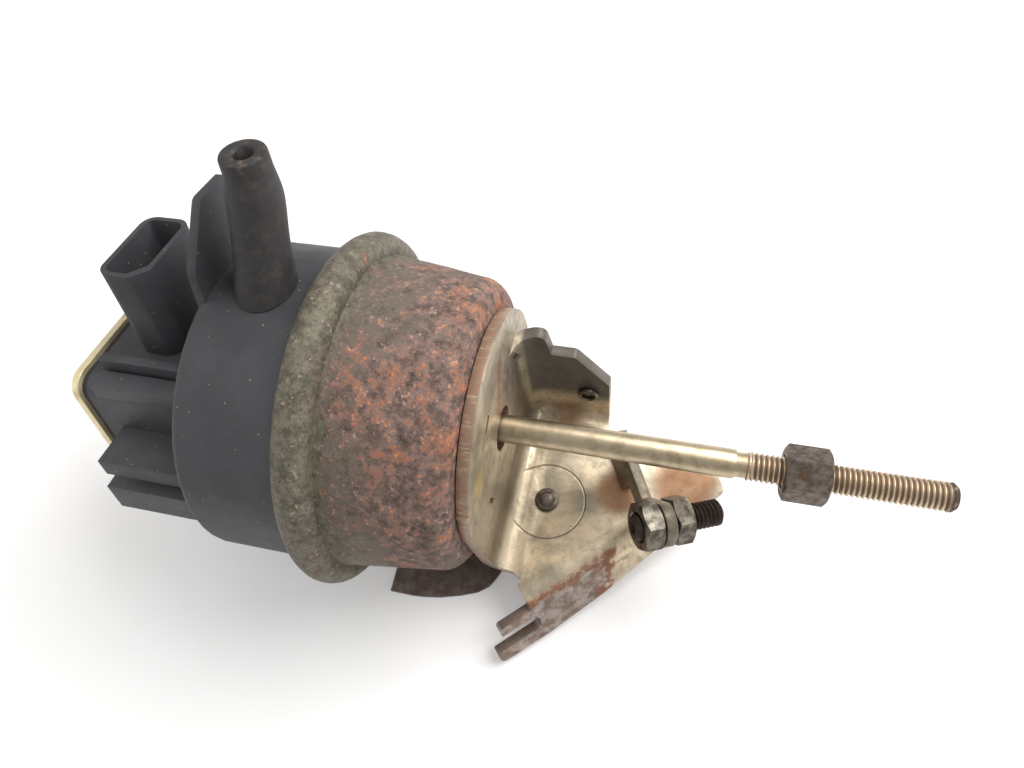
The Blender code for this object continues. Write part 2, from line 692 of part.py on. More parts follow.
def make_spring(group, look, carrier):
    """Make the coil spring between the housing's rear wall and the piston."""
    low = HOUSING_BACK_X + HOUSING_WALL + SPRING_WIRE_D / 2 + GAP
    high = PISTON_FRONT_X - PISTON_WALL - SPRING_WIRE_D / 2 - GAP
    turns = SPRING_TURNS + 1.5
    steps = round(turns * 16)
    curve = bpy.data.curves.new("spring", "CURVE")
    curve.dimensions = "3D"
    curve.bevel_depth = SPRING_WIRE_D / 2
    curve.bevel_resolution = 2
    curve.use_fill_caps = True
    spline = curve.splines.new("POLY")
    spline.points.add(steps)
    dead = 0.75
    rise = high - low - 2 * SPRING_WIRE_D
    for index, point in enumerate(spline.points):
        turn = turns * index / steps
        first = min(turn, dead) / dead * SPRING_WIRE_D
        last = max(0.0, turn - (turns - dead)) / dead * SPRING_WIRE_D
        middle = min(max(turn - dead, 0.0), turns - 2 * dead) / (turns - 2 * dead) * rise
        angle = 2 * math.pi * turn
        point.co = (low + first + middle + last, SPRING_R * math.cos(angle), SPRING_R * math.sin(angle), 1)
    finish(baked(add_mesh("spring", curve, Matrix())), "return_spring", group, look, carrier)


def make_rod(group, looks, carrier):
    """Make the rod with the piston cup, clamp plate, magnet stem and magnet that travel with it."""
    bore = SPIGOT_D / 2 + GAP
    disc_front = PISTON_FRONT_X + 2 * GAP + DIAPHRAGM_THICK
    shoulder = disc_front + CLAMP_PLATE_THICK + GAP
    stem_front = PISTON_FRONT_X - PISTON_WALL - GAP
    spigot_end = stem_front - SPIGOT_REACH
    root = THREAD_D / 2
    rod = turned("rod", [(0, ROD_TIP), (root - ROD_TIP_CHAMFER, ROD_TIP), (root, ROD_TIP - ROD_TIP_CHAMFER),
                         (root, ROD_NECK_END), (ROD_NECK_D / 2, ROD_NECK_END - BITE),
                         (ROD_NECK_D / 2, ROD_NECK_START), (ROD_D / 2 - BITE, ROD_NECK_START),
                         (ROD_D / 2, ROD_NECK_START - BITE), (ROD_D / 2, shoulder), (SPIGOT_D / 2, shoulder),
                         (SPIGOT_D / 2, spigot_end), (0, spigot_end)], INNER_STEPS)
    finish(rod, "actuator_rod", group, looks["steel"], carrier)
    clamp = turned("clamp", [(bore, disc_front + CLAMP_PLATE_THICK), (CLAMP_PLATE_R, disc_front + CLAMP_PLATE_THICK),
                             (CLAMP_PLATE_R, disc_front), (bore, disc_front)], INNER_STEPS)
    finish(clamp, "clamp_plate", group, looks["steel"], carrier)
    corner = arc((PISTON_R - PISTON_EDGE_R, PISTON_FRONT_X - PISTON_EDGE_R), PISTON_EDGE_R, 90, 0, 3)
    cup = shell("cup", [(bore, PISTON_FRONT_X), *corner, (PISTON_R, PISTON_FRONT_X - PISTON_SKIRT)],
                PISTON_WALL, INNER_STEPS)
    finish(cup, "piston_cup", group, looks["steel"], carrier)
    stem_r = MAGNET_STEM_D / 2
    stem_end = stem_front - MAGNET_STEM_LENGTH
    pocket = MAGNET_D / 2 + GAP
    pocket_end = stem_end + MAGNET_LENGTH + GAP
    stem = turned("stem", [(bore, stem_front), (stem_r + STEM_FLANGE, stem_front),
                           (stem_r + STEM_FLANGE, stem_front - STEM_FLANGE), (stem_r, stem_front - STEM_FLANGE),
                           (stem_r, stem_end), (pocket, stem_end), (pocket, pocket_end), (BITE, pocket_end),
                           (BITE, spigot_end - GAP), (bore, spigot_end - GAP)], SMALL_STEPS)
    finish(stem, "magnet_stem", group, looks["plastic"], carrier)
    magnet = turned("magnet", [(0, stem_end + MAGNET_LENGTH), (MAGNET_D / 2, stem_end + MAGNET_LENGTH),
                               (MAGNET_D / 2, stem_end), (0, stem_end)], SMALL_STEPS)
    finish(magnet, "magnet", group, looks["steel"], carrier)


def corner_block(shift):
    """Make the block that fills the drawn corner of wall, floor and tab, moved outwards by a thickness."""
    back = -shift
    low = FLOOR_Z - shift
    side = TAB_Y + shift
    far = BLOCK_REACH - shift
    along = rounded([(back, far, 0), (back, low, FLOOR_BEND_R + shift), (far, low, 0), (far, far, 0)])
    side_frame = frame((0, 0, 0), (1, 0, 0), (0, 0, 1))
    block = plate("block", along, -side, far, side_frame)
    end = rounded([(-far, low, 0), (side, low, TAB_BEND_R + shift), (side, far, 0), (-far, far, 0)])
    across = plate("across", end, back - BITE, far + BITE, FIN_FRAME)
    top = rounded([(back, -far, 0), (far, -far, 0), (far, side, 0), (back, side, EAR_BEND_R + shift)])
    upright = plate("upright", top, low - BITE, far + BITE, PLAN)
    return combine(block, [across, upright], "INTERSECT")


def make_bracket(group, look, carrier):
    """Make the pressed bracket: wall, floor, tab with its ear, rib and the slotted flange."""
    side_frame = frame((0, 0, 0), (1, 0, 0), (0, 0, 1))
    pressed = combine(corner_block(SHEET), [corner_block(0)], "DIFFERENCE")
    side = rounded([(-2 * SHEET, FLOOR_Z - 2 * SHEET, 0), (FLOOR_TIP_X + SHEET, FLOOR_Z - 2 * SHEET, 0),
                    (FLOOR_TIP_X + SHEET, FLOOR_Z + BITE, 0), (TAB_END_X, FLOOR_Z + BITE, 0),
                    (TAB_END_X, TAB_LOW_Z, TAB_EDGE_R), (TAB_SLOPE_X, TAB_TOP_Z, TAB_EDGE_R),
                    (EAR_X + EAR_DROP, TAB_TOP_Z, 0), (EAR_X, EAR_TOP_Z, EAR_EDGE_R), (-2 * SHEET, EAR_TOP_Z, 0)])
    bend_out = (FLANGE_BEND_R + SHEET) * math.sin(BEND)
    bend_start = ALONG.inverted() @ Vector((FLANGE_X, FLANGE_Y, 0))
    line = bend_start.y + bend_out + FLANGE_LAP / 2
    first = ALONG @ Vector((bend_start.x - FLANGE_ROOT + FLANGE_LAP / 4, line, 0))
    last = ALONG @ Vector((bend_start.x + FLANGE_LENGTH - FLANGE_LAP / 4, line, 0))
    near = WALL_NEAR_Y
    plan = [(-2 * SHEET, near), (NECK_X, near), *NECK, (first.x, first.y), (last.x, last.y),
            *TIP, (FLOOR_SHOULDER_X, FLOOR_FAR_Y), (TAB_END_X, TAB_Y - TAB_BEND_R), (TAB_END_X, TAB_Y + 2 * SHEET),
            (-2 * SHEET, TAB_Y + 2 * SHEET)]
    trim_plan = plate("plan", plan, FLOOR_Z - 2 * SHEET, EAR_TOP_Z + SHEET, PLAN)
    trim_side = plate("side", side, -BLOCK_REACH, BLOCK_REACH, side_frame)
    pressed = combine(pressed, [trim_side, trim_plan], "INTERSECT")
    arch = [(-WALL_R, 0), *reversed(arc((0, 0), WALL_R, 0, 180, 24))][1:]
    lower = WALL_LOW_Z
    arch += [(WALL_R, WALL_CORNER_Z), (TAB_Y + SHEET, lower), (near, lower)]
    wall = plate("wall", arch, -SHEET, 0, FIN_FRAME)
    rib = [(-0.4 * SHEET, RIB_TOP_Z), (-0.4 * SHEET, RIB_TOP_Z - 1.4 * SHEET), (0.4 * SHEET, FLOOR_Z - 0.2 * SHEET),
           (1.4 * SHEET, FLOOR_Z - 0.6 * SHEET), (RIB_END_X, FLOOR_Z - 0.4 * SHEET), (RIB_END_X, FLOOR_Z),
           (0, RIB_TOP_Z)]
    gusset = plate("gusset", rib, -RIB_FAR_Y, -RIB_NEAR_Y, side_frame)
    flange = make_flange(bend_start)
    bracket = combine(pressed, [wall, gusset, flange], "UNION")
    cuts = [rod_between("bore", WALL_BORE_D, (-2 * SHEET, 0, 0), (SHEET, 0, 0), 32)]
    for turn in (22, 112, 202, 292):
        spot = Matrix.Rotation(math.radians(turn), 4, "X")
        cuts.append(box("slit", (-2 * SHEET, SLIT_RING_R - SLIT_WIDTH / 2, -SLIT_LENGTH / 2),
                        (SHEET, SLIT_RING_R + SLIT_WIDTH / 2, SLIT_LENGTH / 2), spot))
    stud = TAB_STUD_BORE / 2 + GAP
    cuts.append(rod_between("tab hole", 2 * stud, (TAB_STUD_X, TAB_Y - SHEET, TAB_STUD_Z),
                            (TAB_STUD_X, TAB_Y + 2 * SHEET, TAB_STUD_Z)))
    cuts.append(rod_between("floor hole", 2 * stud, (FLOOR_STUD_X, FLOOR_STUD_Y, FLOOR_Z + SHEET),
                            (FLOOR_STUD_X, FLOOR_STUD_Y, FLOOR_Z - 2 * SHEET)))
    bracket = combine(bracket, cuts, "DIFFERENCE")
    finish(bracket, "mounting_bracket", group, look, carrier)


def make_flange(start):
    """Make the edge of the floor that bends down into the slotted flange."""
    radius = FLANGE_BEND_R + SHEET
    centre = (start.y + radius * math.sin(BEND), FLOOR_Z - radius)
    down = (-math.cos(BEND) * FLANGE_STOCK, -math.sin(BEND) * FLANGE_STOCK)
    outer = arc(centre, radius, 90, 90 + FLANGE_BEND, 6)
    inner = arc(centre, FLANGE_BEND_R, 90 + FLANGE_BEND, 90, 6)
    section = [(centre[0] + FLANGE_LAP, FLOOR_Z), *outer, (outer[-1][0] + down[0], outer[-1][1] + down[1]),
               (inner[0][0] + down[0], inner[0][1] + down[1]), *inner, (centre[0] + FLANGE_LAP, FLOOR_Z - SHEET)]
    cross = ALONG @ frame((0, 0, 0), (0, 1, 0), (0, 0, 1))
    stock = plate("flange", section, start.x - FLANGE_STOCK, start.x + FLANGE_LENGTH + SHEET, cross)
    edge = 1.5 * FLANGE_STOCK
    waste = rounded([(FLANGE_LENGTH, -edge, 0), (FLANGE_LENGTH, FLANGE_TIP_DEPTH, 0.0012),
                     (0.3 * FLANGE_LENGTH, 0.88 * FLANGE_DEPTH, 0.008), (0, FLANGE_DEPTH, 0.004),
                     (-FLANGE_BACK, FLANGE_DEPTH, 0.0015), (-FLANGE_BACK, SLOT_DROP + SLOT_WIDTH / 2, 0.0006),
                     (SLOT_END, SLOT_DROP + SLOT_WIDTH / 2, 0.0022), (SLOT_END, SLOT_DROP - SLOT_WIDTH / 2, 0.0022),
                     (-FLANGE_EAR, SLOT_DROP - SLOT_WIDTH / 2, 0.0004), (-FLANGE_EAR, SLOT_EAR_TOP, 0.001),
                     (-FLANGE_ROOT, SLOT_EAR_TOP, 0.0008), (-FLANGE_ROOT, -edge, 0), (-edge, -edge, 0),
                     (-edge, edge, 0), (FLANGE_LENGTH + edge, edge, 0), (FLANGE_LENGTH + edge, -edge, 0)])
    return combine(stock, [plate("waste", waste, -edge, edge, flange_face())], "DIFFERENCE")


def make_studs(group, look, carrier):
    """Make the two hollow studs riveted through the bracket."""
    shank = TAB_STUD_BORE / 2
    pit = STUD_BORE_D / 2
    tab = frame((TAB_STUD_X, TAB_Y, TAB_STUD_Z), (1, 0, 0), (0, 0, 1))
    floor = frame((FLOOR_STUD_X, FLOOR_STUD_Y, FLOOR_Z), (1, 0, 0), (0, 1, 0))
    edge = STUD_HEIGHT * 0.4
    floor_grip = SHEET + GAP + STRAP_SHEET
    for name, head, grip, place in (("tab_stud", TAB_STUD_D / 2, SHEET, tab),
                                    ("floor_stud", FLOOR_STUD_D / 2, floor_grip, floor)):
        under = -grip - GAP
        stud = turned(name, [(0, STUD_HEIGHT), (head - edge, STUD_HEIGHT), (head, STUD_HEIGHT - edge), (head, GAP),
                             (shank, GAP), (shank, under), (head, under), (head, under - edge), (0, under - edge)],
                      SMALL_STEPS, place)
        hollow = turned("hollow", [(0, 2 * STUD_HEIGHT), (pit, 2 * STUD_HEIGHT), (pit, GAP), (0, GAP)], SMALL_STEPS,
                        place)
        stud = combine(stud, [hollow], "DIFFERENCE")
        finish(stud, name, group, look, carrier)


def make_under_shield(group, look, carrier):
    """Make the thin strap welded under the floor that runs back under the can."""
    top = FLOOR_Z - SHEET - GAP
    low = STRAP_Z
    reach = STRAP_BEND_R
    path = [(STRAP_FRONT_X, top)]
    path += arc((STRAP_LEG_X + reach, top - reach), reach, 90, 180, 4)
    path += arc((STRAP_LEG_X - reach, low + reach), reach, 0, -90, 4)
    path += [(STRAP_BACK_X, low)]
    strip = plate("strap", ribbon(path, STRAP_SHEET), -STRAP_FAR_Y, -STRAP_NEAR_Y,
                  frame((0, 0, 0), (1, 0, 0), (0, 0, 1)))
    hole = rod_between("hole", TAB_STUD_BORE + 2 * GAP, (FLOOR_STUD_X, FLOOR_STUD_Y, top + SHEET),
                       (FLOOR_STUD_X, FLOOR_STUD_Y, low))
    finish(combine(strip, [hole], "DIFFERENCE"), "under_shield", group, look, carrier)


def make_stop(group, looks, carrier):
    """Make the stop screw with its arm, washer and two nuts."""
    axis = Vector((math.cos(DIP) * math.cos(STOP), math.cos(DIP) * math.sin(STOP), -math.sin(DIP)))
    level = Vector((0, 0, 1)).cross(axis)
    place = frame((STOP_X, STOP_Y, STOP_Z), level, axis.cross(level))
    half = STOP_ARM_THICK / 2
    hole = STOP_SCREW_D / 2 + GAP
    lug = arc((0, 0), STOP_ARM_R, 60, 270, 10)
    outline = [*lug, (STOP_ARM_FOOT_H, STOP_ARM_FOOT_C), (STOP_ARM_END_H - STOP_ARM_R, STOP_ARM_FOOT_C),
               (STOP_ARM_END_H, STOP_ARM_TOP_C - STOP_ARM_R), (STOP_ARM_END_H, STOP_ARM_TOP_C),
               (STOP_ARM_NECK_H, STOP_ARM_TOP_C)]
    arm = plate("arm", outline, -half, half, place)
    drill = turned("drill", [(0, 2 * half), (hole, 2 * half), (hole, -2 * half), (0, -2 * half)], SMALL_STEPS, place)
    below = box("below", (-FLOOR_TIP_X, -BLOCK_REACH, FLOOR_Z - BLOCK_REACH), (2 * FLOOR_TIP_X, BLOCK_REACH,
                                                                             FLOOR_Z + GAP))
    finish(combine(arm, [drill, below], "DIFFERENCE"), "stop_arm", group, looks["olive"], carrier)
    edge = STOP_SCREW_EDGE
    radius = STOP_SCREW_D / 2
    screw = turned("screw", [(0, STOP_SCREW_FRONT), (radius - edge, STOP_SCREW_FRONT),
                             (radius, STOP_SCREW_FRONT - edge), (radius, -STOP_SCREW_BACK + edge),
                             (radius - edge, -STOP_SCREW_BACK), (0, -STOP_SCREW_BACK)], SMALL_STEPS, place)
    finish(screw, "stop_screw", group, looks["dark"], carrier)
    near = -half - GAP
    finish(hex_nut("nut", STOP_NUT_AF, 2 * hole, near - STOP_NUT_THICK, near, STOP_NUT_TURN, place),
           "stop_nut_near", group, looks["steel"], carrier)
    rest = half + GAP
    washer = turned("washer", [(hole, rest + WASHER_THICK), (WASHER_D / 2, rest + WASHER_THICK),
                               (WASHER_D / 2, rest), (hole, rest)], SMALL_STEPS, place)
    finish(washer, "stop_washer", group, looks["steel"], carrier)
    far = rest + WASHER_THICK + GAP
    finish(hex_nut("nut", STOP_NUT_AF, 2 * hole, far, far + STOP_NUT_THICK, STOP_NUT_TURN, place),
           "stop_nut_far", group, looks["steel"], carrier)


def carrier_at(name, group):
    """Add the empty that carries the pieces of one body."""
    empty = bpy.data.objects.new(name, None)
    empty.location = LAYOUT_POINT
    group.objects.link(empty)
    return empty


def main():
    """Build the whole actuator."""
    clear_scene()
    group = make_collection(OBJECT_NAME)
    looks = {
        "plastic": make_material("charcoal_plastic", (0.025, 0.026, 0.028), 0.55, 0.0),
        "rubber": make_material("black_rubber", (0.018, 0.014, 0.012), 0.8, 0.0),
        "zinc": make_material("yellow_zinc", (0.55, 0.42, 0.16), 0.4, 0.9),
        "rusty": make_material("rusty_sheet", (0.20, 0.12, 0.08), 0.65, 0.4),
        "olive": make_material("olive_zinc", (0.24, 0.20, 0.14), 0.45, 0.7),
        "steel": make_material("worn_steel", (0.40, 0.36, 0.29), 0.35, 0.9),
        "dark": make_material("dark_steel", (0.07, 0.055, 0.05), 0.5, 0.8),
        "brass": make_material("tinned_brass", (0.60, 0.48, 0.25), 0.35, 1.0),
        "bronze": make_material("sintered_bronze", (0.30, 0.20, 0.12), 0.5, 0.9),
        "board": make_material("green_board", (0.03, 0.12, 0.05), 0.5, 0.0),
    }
    fixed = carrier_at("body", group)
    moving = carrier_at("rod", group)
    nut_carrier = carrier_at("lock_nut", group)
    nut_carrier.parent = moving
    nut_carrier.location = (0, 0, 0)
    make_housing(group, looks["plastic"], fixed)
    make_sensor(group, looks, fixed)
    make_hose(group, looks["rubber"], fixed)
    make_can(group, looks, fixed)
    make_guide(group, looks, fixed)
    make_spring(group, looks["steel"], fixed)
    make_bracket(group, looks["olive"], fixed)
    make_studs(group, looks["steel"], fixed)
    make_under_shield(group, looks["olive"], fixed)
    make_stop(group, looks, fixed)
    make_rod(group, looks, moving)
    nut = hex_nut("nut", LOCK_NUT_AF, ROD_D + 2 * GAP, LOCK_NUT_START, LOCK_NUT_START + LOCK_NUT_LENGTH,
                  LOCK_NUT_TURN, ROD_AXIS)
    finish(nut, "rod_lock_nut", group, looks["dark"], nut_carrier)


main()
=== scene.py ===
"""Looks of a vacuum wastegate actuator: rusted can, sensor housing, zinc plated bracket and threaded rod.

Lengths are in millimetres in the shapes and the patterns, and the finished meshes are in metres.
Shapes are laid out about the point where the rod's axis meets the front face of the bracket's wall.
"""
import math

import bmesh
import bpy
from bpy.props import FloatProperty, FloatVectorProperty, IntProperty, PointerProperty
from bpy.types import Operator, Panel, PropertyGroup
from mathutils import Matrix, Vector, noise


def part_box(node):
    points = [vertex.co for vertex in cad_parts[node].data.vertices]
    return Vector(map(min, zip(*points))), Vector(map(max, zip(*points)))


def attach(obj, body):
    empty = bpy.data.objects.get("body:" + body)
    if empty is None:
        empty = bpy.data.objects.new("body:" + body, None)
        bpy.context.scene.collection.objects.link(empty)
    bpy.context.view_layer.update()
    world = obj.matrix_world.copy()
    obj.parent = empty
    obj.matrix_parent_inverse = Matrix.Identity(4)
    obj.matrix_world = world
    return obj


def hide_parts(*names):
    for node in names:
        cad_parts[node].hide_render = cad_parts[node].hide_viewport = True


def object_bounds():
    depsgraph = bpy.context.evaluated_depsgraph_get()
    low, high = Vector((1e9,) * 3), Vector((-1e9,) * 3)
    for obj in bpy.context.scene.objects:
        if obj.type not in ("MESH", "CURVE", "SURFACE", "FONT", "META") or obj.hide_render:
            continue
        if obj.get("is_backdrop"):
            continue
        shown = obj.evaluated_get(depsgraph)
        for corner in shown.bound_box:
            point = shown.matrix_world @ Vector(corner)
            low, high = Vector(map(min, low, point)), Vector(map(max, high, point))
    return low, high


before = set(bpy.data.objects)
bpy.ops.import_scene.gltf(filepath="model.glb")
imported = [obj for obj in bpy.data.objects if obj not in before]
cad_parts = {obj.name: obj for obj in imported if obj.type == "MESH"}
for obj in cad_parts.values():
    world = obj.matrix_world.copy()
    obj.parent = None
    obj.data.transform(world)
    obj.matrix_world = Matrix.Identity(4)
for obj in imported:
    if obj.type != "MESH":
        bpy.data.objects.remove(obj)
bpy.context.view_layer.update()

bl_info = {
    "name": "Wastegate Actuator",
    "version": (1, 0, 0),
    "blender": (4, 5, 0),
    "location": "View3D > Sidebar > Actuator",
    "description": "Builds the looks of a wastegate actuator round its packed model",
    "category": "Object",
}

MM = 0.001
# Points closer than this, in mm, are one point, and faces that turn less than this are one face
MERGE = 0.0005
FLAT = math.radians(0.5)
# Edges that turn more than this are rounded
SHARP = math.radians(40.0)
# Places in the layout in mm: the rod's tip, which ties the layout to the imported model, and the bracket's floor
ROD_TIP = 89.0
FLOOR_Z = -24.5
ROD_LOW, ROD_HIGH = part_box("actuator_rod")
ROD_MIDDLE = [(low + high) / 2 / MM for low, high in zip(ROD_LOW, ROD_HIGH)]
LAYOUT = Vector((ROD_HIGH[0] / MM - ROD_TIP, ROD_MIDDLE[1], ROD_MIDDLE[2]))
# Radius of a cut thread's ridge, rings in one turn of it, and shares of its crest and its flanks
THREAD_RADIUS = 2.95
THREAD_RINGS = 12
THREAD_CREST, THREAD_FLANK = 0.12, 0.72


def srgb(red, green, blue):
    """Turn a screen colour of 0 to 255 into the linear colour that a shader takes."""
    return tuple(c / 255 / 12.92 if c <= 10 else ((c / 255 + 0.055) / 1.055) ** 2.4
                 for c in (red, green, blue))


def length(name, description, default):
    """Return a size property in millimetres."""
    return FloatProperty(name=name, description=description, default=default, min=0.0, precision=2)


def colour(name, description, red, green, blue):
    """Return a colour property."""
    return FloatVectorProperty(name=name, description=description, default=srgb(red, green, blue), size=3,
                               min=0.0, max=1.0, subtype="COLOR")


def vector(name, description, default, subtype="XYZ"):
    """Return a property of three numbers."""
    return FloatVectorProperty(name=name, description=description, default=default, size=3, subtype=subtype)


class CanSizes(PropertyGroup):
    """Sizes of the pressed can."""

    radius: length("Radius", "Outside radius of the can in mm", 33.6)
    wall: length("Wall", "Thickness of the sheet in mm", 1.2)
    bead_radius: length("Bead radius", "Radius of the rolled bead's section in mm", 3.7)
    bead_x: FloatProperty(name="Bead place", description="Middle of the bead along the rod in mm",
                          default=-30.6)
    unevenness: length("Unevenness", "How far the rusted sheet strays from round in mm", 0.22)
    steps: IntProperty(name="Steps", description="Faces round the can", default=192, min=24)


class HoseSizes(PropertyGroup):
    """Sizes of the rubber hose end."""

    top: length("Top", "Diameter at the cut end in mm", 8.8)
    swell: length("Swell", "Diameter of the swelling in mm", 10.5)
    waist: length("Waist", "Diameter under the swelling in mm", 10.4)
    base: length("Base", "Diameter at the housing in mm", 12.4)
    bore: length("Bore", "Diameter of the hole in mm", 3.6)


class ThreadSizes(PropertyGroup):
    """Sizes of the threads."""

    pitch: length("Pitch", "Distance between ridges in mm", 1.0)
    depth: length("Depth", "Height of a ridge in mm", 0.5)
    steps: IntProperty(name="Steps", description="Faces round a thread", default=40, min=12)


class FinishColours(PropertyGroup):
    """Colours of the finishes."""

    plastic: colour("Plastic", "Charcoal plastic of the housing", 60, 60, 64)
    rubber: colour("Rubber", "Rubber of the hose", 46, 44, 44)
    dust: colour("Dust", "Brown dust that lies on plastic and rubber", 112, 96, 78)
    can: colour("Can", "Grey-olive sheet of the can", 124, 117, 100)
    bruise: colour("Dark rust", "Purple-brown rust", 142, 116, 108)
    rust: colour("Rust", "Orange rust", 162, 100, 66)
    zinc: colour("Zinc", "Worn zinc plate of the bracket", 226, 208, 178)
    stain: colour("Stain", "Brown stains on zinc", 150, 98, 54)
    plate: colour("Yellow zinc", "Yellow plate of the rear cover", 240, 224, 186)
    steel: colour("Steel", "Satin steel of the rod", 192, 176, 148)
    dark: colour("Dark steel", "Dark steel of nut and stop screw", 124, 113, 104)


class StageSettings(PropertyGroup):
    """Camera, lamps and floor."""

    eye: vector("Eye", "Place of the camera in mm", (6.305, -44.715, 179.303))
    right: vector("Right", "Way to the right of the picture", (0.970, 0.214, -0.114), "DIRECTION")
    back: vector("Back", "Way from the part to the camera", (0.198, -0.429, 0.881), "DIRECTION")
    lens: FloatProperty(name="Lens", description="Focal length in mm on a sensor 36 mm wide", default=27.07)
    shift: FloatProperty(name="Shift", description="Upward shift of the picture", default=0.003)
    key: FloatProperty(name="Key lamp", description="Power of the large lamp in W", default=3.3, min=0.0)
    key_place: vector("Key lamp's place", "Place of the large lamp in mm", (240, 230, 400))
    key_size: FloatProperty(name="Key lamp's size", description="Side of the large lamp", default=0.42,
                            min=0.0, unit="LENGTH")
    fill: FloatProperty(name="Fill lamp", description="Power of the side lamp in W", default=0.6, min=0.0)
    fill_place: vector("Fill lamp's place", "Place of the side lamp in mm", (-360, -60, 260))
    fill_size: FloatProperty(name="Fill lamp's size", description="Side of the side lamp", default=0.5,
                             min=0.0, unit="LENGTH")
    room: FloatProperty(name="Room light", description="Strength of the light from all round", default=0.5,
                        min=0.0)
    floor: colour("Floor", "Colour of the floor", 236, 235, 234)
    glow: FloatProperty(name="Glow", description="White that the floor adds in the picture alone",
                        default=0.16, min=0.0)
    reach: FloatProperty(name="Reach", description="Half the side of the floor", default=1.5, min=0.1,
                         unit="LENGTH")


class ActuatorSettings(PropertyGroup):
    """All settings of the actuator's looks."""

    can: PointerProperty(type=CanSizes)
    hose: PointerProperty(type=HoseSizes)
    thread: PointerProperty(type=ThreadSizes)
    colours: PointerProperty(type=FinishColours)
    stage: PointerProperty(type=StageSettings)


class Value:
    """A shader socket that takes part in sums as a number does."""

    def __init__(self, finish, socket):
        self.finish = finish
        self.socket = socket

    def maths(self, operation, first, second):
        """Add one Math node."""
        return self.finish.node("ShaderNodeMath", {"operation": operation}, {0: first, 1: second})

    def __add__(self, other):
        return self.maths("ADD", self, other)

    def __radd__(self, other):
        return self.maths("ADD", other, self)

    def __sub__(self, other):
        return self.maths("SUBTRACT", self, other)

    def __rsub__(self, other):
        return self.maths("SUBTRACT", other, self)

    def __mul__(self, other):
        return self.maths("MULTIPLY", self, other)

    def __rmul__(self, other):
        return self.maths("MULTIPLY", other, self)

    def between(self, low, high):
        """Rise smoothly from 0 at one value to 1 at the other."""
        return self.finish.node("ShaderNodeMapRange", {"interpolation_type": "SMOOTHSTEP"},
                                {"Value": self, "From Min": low, "From Max": high})


class Finish:
    """A material whose patterns are measured in millimetres on the part."""

    def __init__(self, name, metallic=0.0):
        self.material = bpy.data.materials.new(name)
        self.material.use_nodes = True
        self.tree = self.material.node_tree
        self.shader = self.tree.nodes["Principled BSDF"]
        self.shader.inputs["Metallic"].default_value = metallic
        place = self.node("ShaderNodeTexCoord", output="Object")
        scaled = self.node("ShaderNodeVectorMath", {"operation": "SCALE"}, {0: place, "Scale": 1 / MM})
        self.place = self.node("ShaderNodeVectorMath", {"operation": "SUBTRACT"}, {0: scaled, 1: LAYOUT})
        self.x = self.node("ShaderNodeSeparateXYZ", values={0: self.place})
        self.y = self.node("ShaderNodeSeparateXYZ", values={0: self.place}, output=1)
        self.z = self.node("ShaderNodeSeparateXYZ", values={0: self.place}, output=2)

    def node(self, kind, settings=None, values=None, output=0):
        """Add a node, set it and feed its sockets, and return one of its outputs."""
        new = self.tree.nodes.new(kind)
        for key, setting in (settings or {}).items():
            setattr(new, key, setting)
        for key, value in (values or {}).items():
            self.feed(new.inputs[key], value)
        return Value(self, new.outputs[output])

    def feed(self, socket, value):
        """Link or set one socket."""
        if isinstance(value, Value):
            self.tree.links.new(value.socket, socket)
        elif socket.type == "RGBA":
            socket.default_value = (*value[:3], 1.0)
        else:
            socket.default_value = value

    def mix(self, share, below, above):
        """Lay one colour over another."""
        return self.node("ShaderNodeMix", {"data_type": "RGBA"}, {0: share, 6: below, 7: above}, 2)

    def layers(self, base, *coats):
        """Lay several colours over a base, each given with its share."""
        for share, above in coats:
            base = self.mix(share, base, above)
        return base

    def noise(self, size, detail=4.0, rough=0.6, stretch=(1, 1, 1), bend=0.0):
        """Return clouds whose blobs are about `size` mm across."""
        place = self.place
        if stretch != (1, 1, 1):
            place = self.node("ShaderNodeVectorMath", {"operation": "MULTIPLY"}, {0: place, 1: stretch})
        return self.node("ShaderNodeTexNoise", None, {"Vector": place, "Scale": 1 / size, "Detail": detail,
                                                      "Roughness": rough, "Distortion": bend})

    def specks(self, spacing, size):
        """Return small dots, `spacing` mm apart."""
        cells = self.node("ShaderNodeTexVoronoi", None, {"Vector": self.place, "Scale": 1 / spacing})
        return cells.between(size, size * 0.6)

    def away(self, centre):
        """Return the distance from a point of the layout."""
        return self.node("ShaderNodeVectorMath", {"operation": "DISTANCE"}, {0: self.place, 1: centre}, "Value")

    def spot(self, centre, radius, soft, ragged):
        """Return a round patch about a point of the layout, with an edge that follows clouds."""
        away = self.away(centre) + (ragged - 0.5) * radius
        return away.between(radius * (1 + soft), radius * (1 - soft))

    def surface(self, base, rough, heights=(), metallic=None):
        """Set the colour, the roughness and bumps given as (height, depth in mm)."""
        self.feed(self.shader.inputs["Base Color"], base)
        self.feed(self.shader.inputs["Roughness"], rough)
        if metallic is not None:
            self.feed(self.shader.inputs["Metallic"], metallic)
        normal = None
        for height, depth in heights:
            values = {"Height": height, "Distance": depth * MM, "Strength": 1.0}
            if normal is not None:
                values["Normal"] = normal
            normal = self.node("ShaderNodeBump", None, values)
        if normal is not None:
            self.feed(self.shader.inputs["Normal"], normal)
        return self.material


def plastic_finish(colours):
    """Matte charcoal plastic with fine grain, rubbed patches and pale specks."""
    finish = Finish("charcoal_plastic")
    broad = finish.noise(14, 3)
    fine = finish.noise(0.35, 3)
    scuff = finish.noise(2.6, 6, 0.7)
    base = finish.layers(
        colours.plastic,
        (broad.between(0.35, 0.7), [c * 0.72 for c in colours.plastic]),
        (scuff.between(0.58, 0.8) * 0.35, srgb(84, 82, 78)),
        (finish.specks(2.4, 0.09) * 0.6, srgb(150, 146, 136)))
    rough = 0.5 + 0.18 * broad + 0.15 * scuff.between(0.5, 0.75)
    return finish.surface(base, rough, ((fine, 0.02), (scuff, 0.02)))


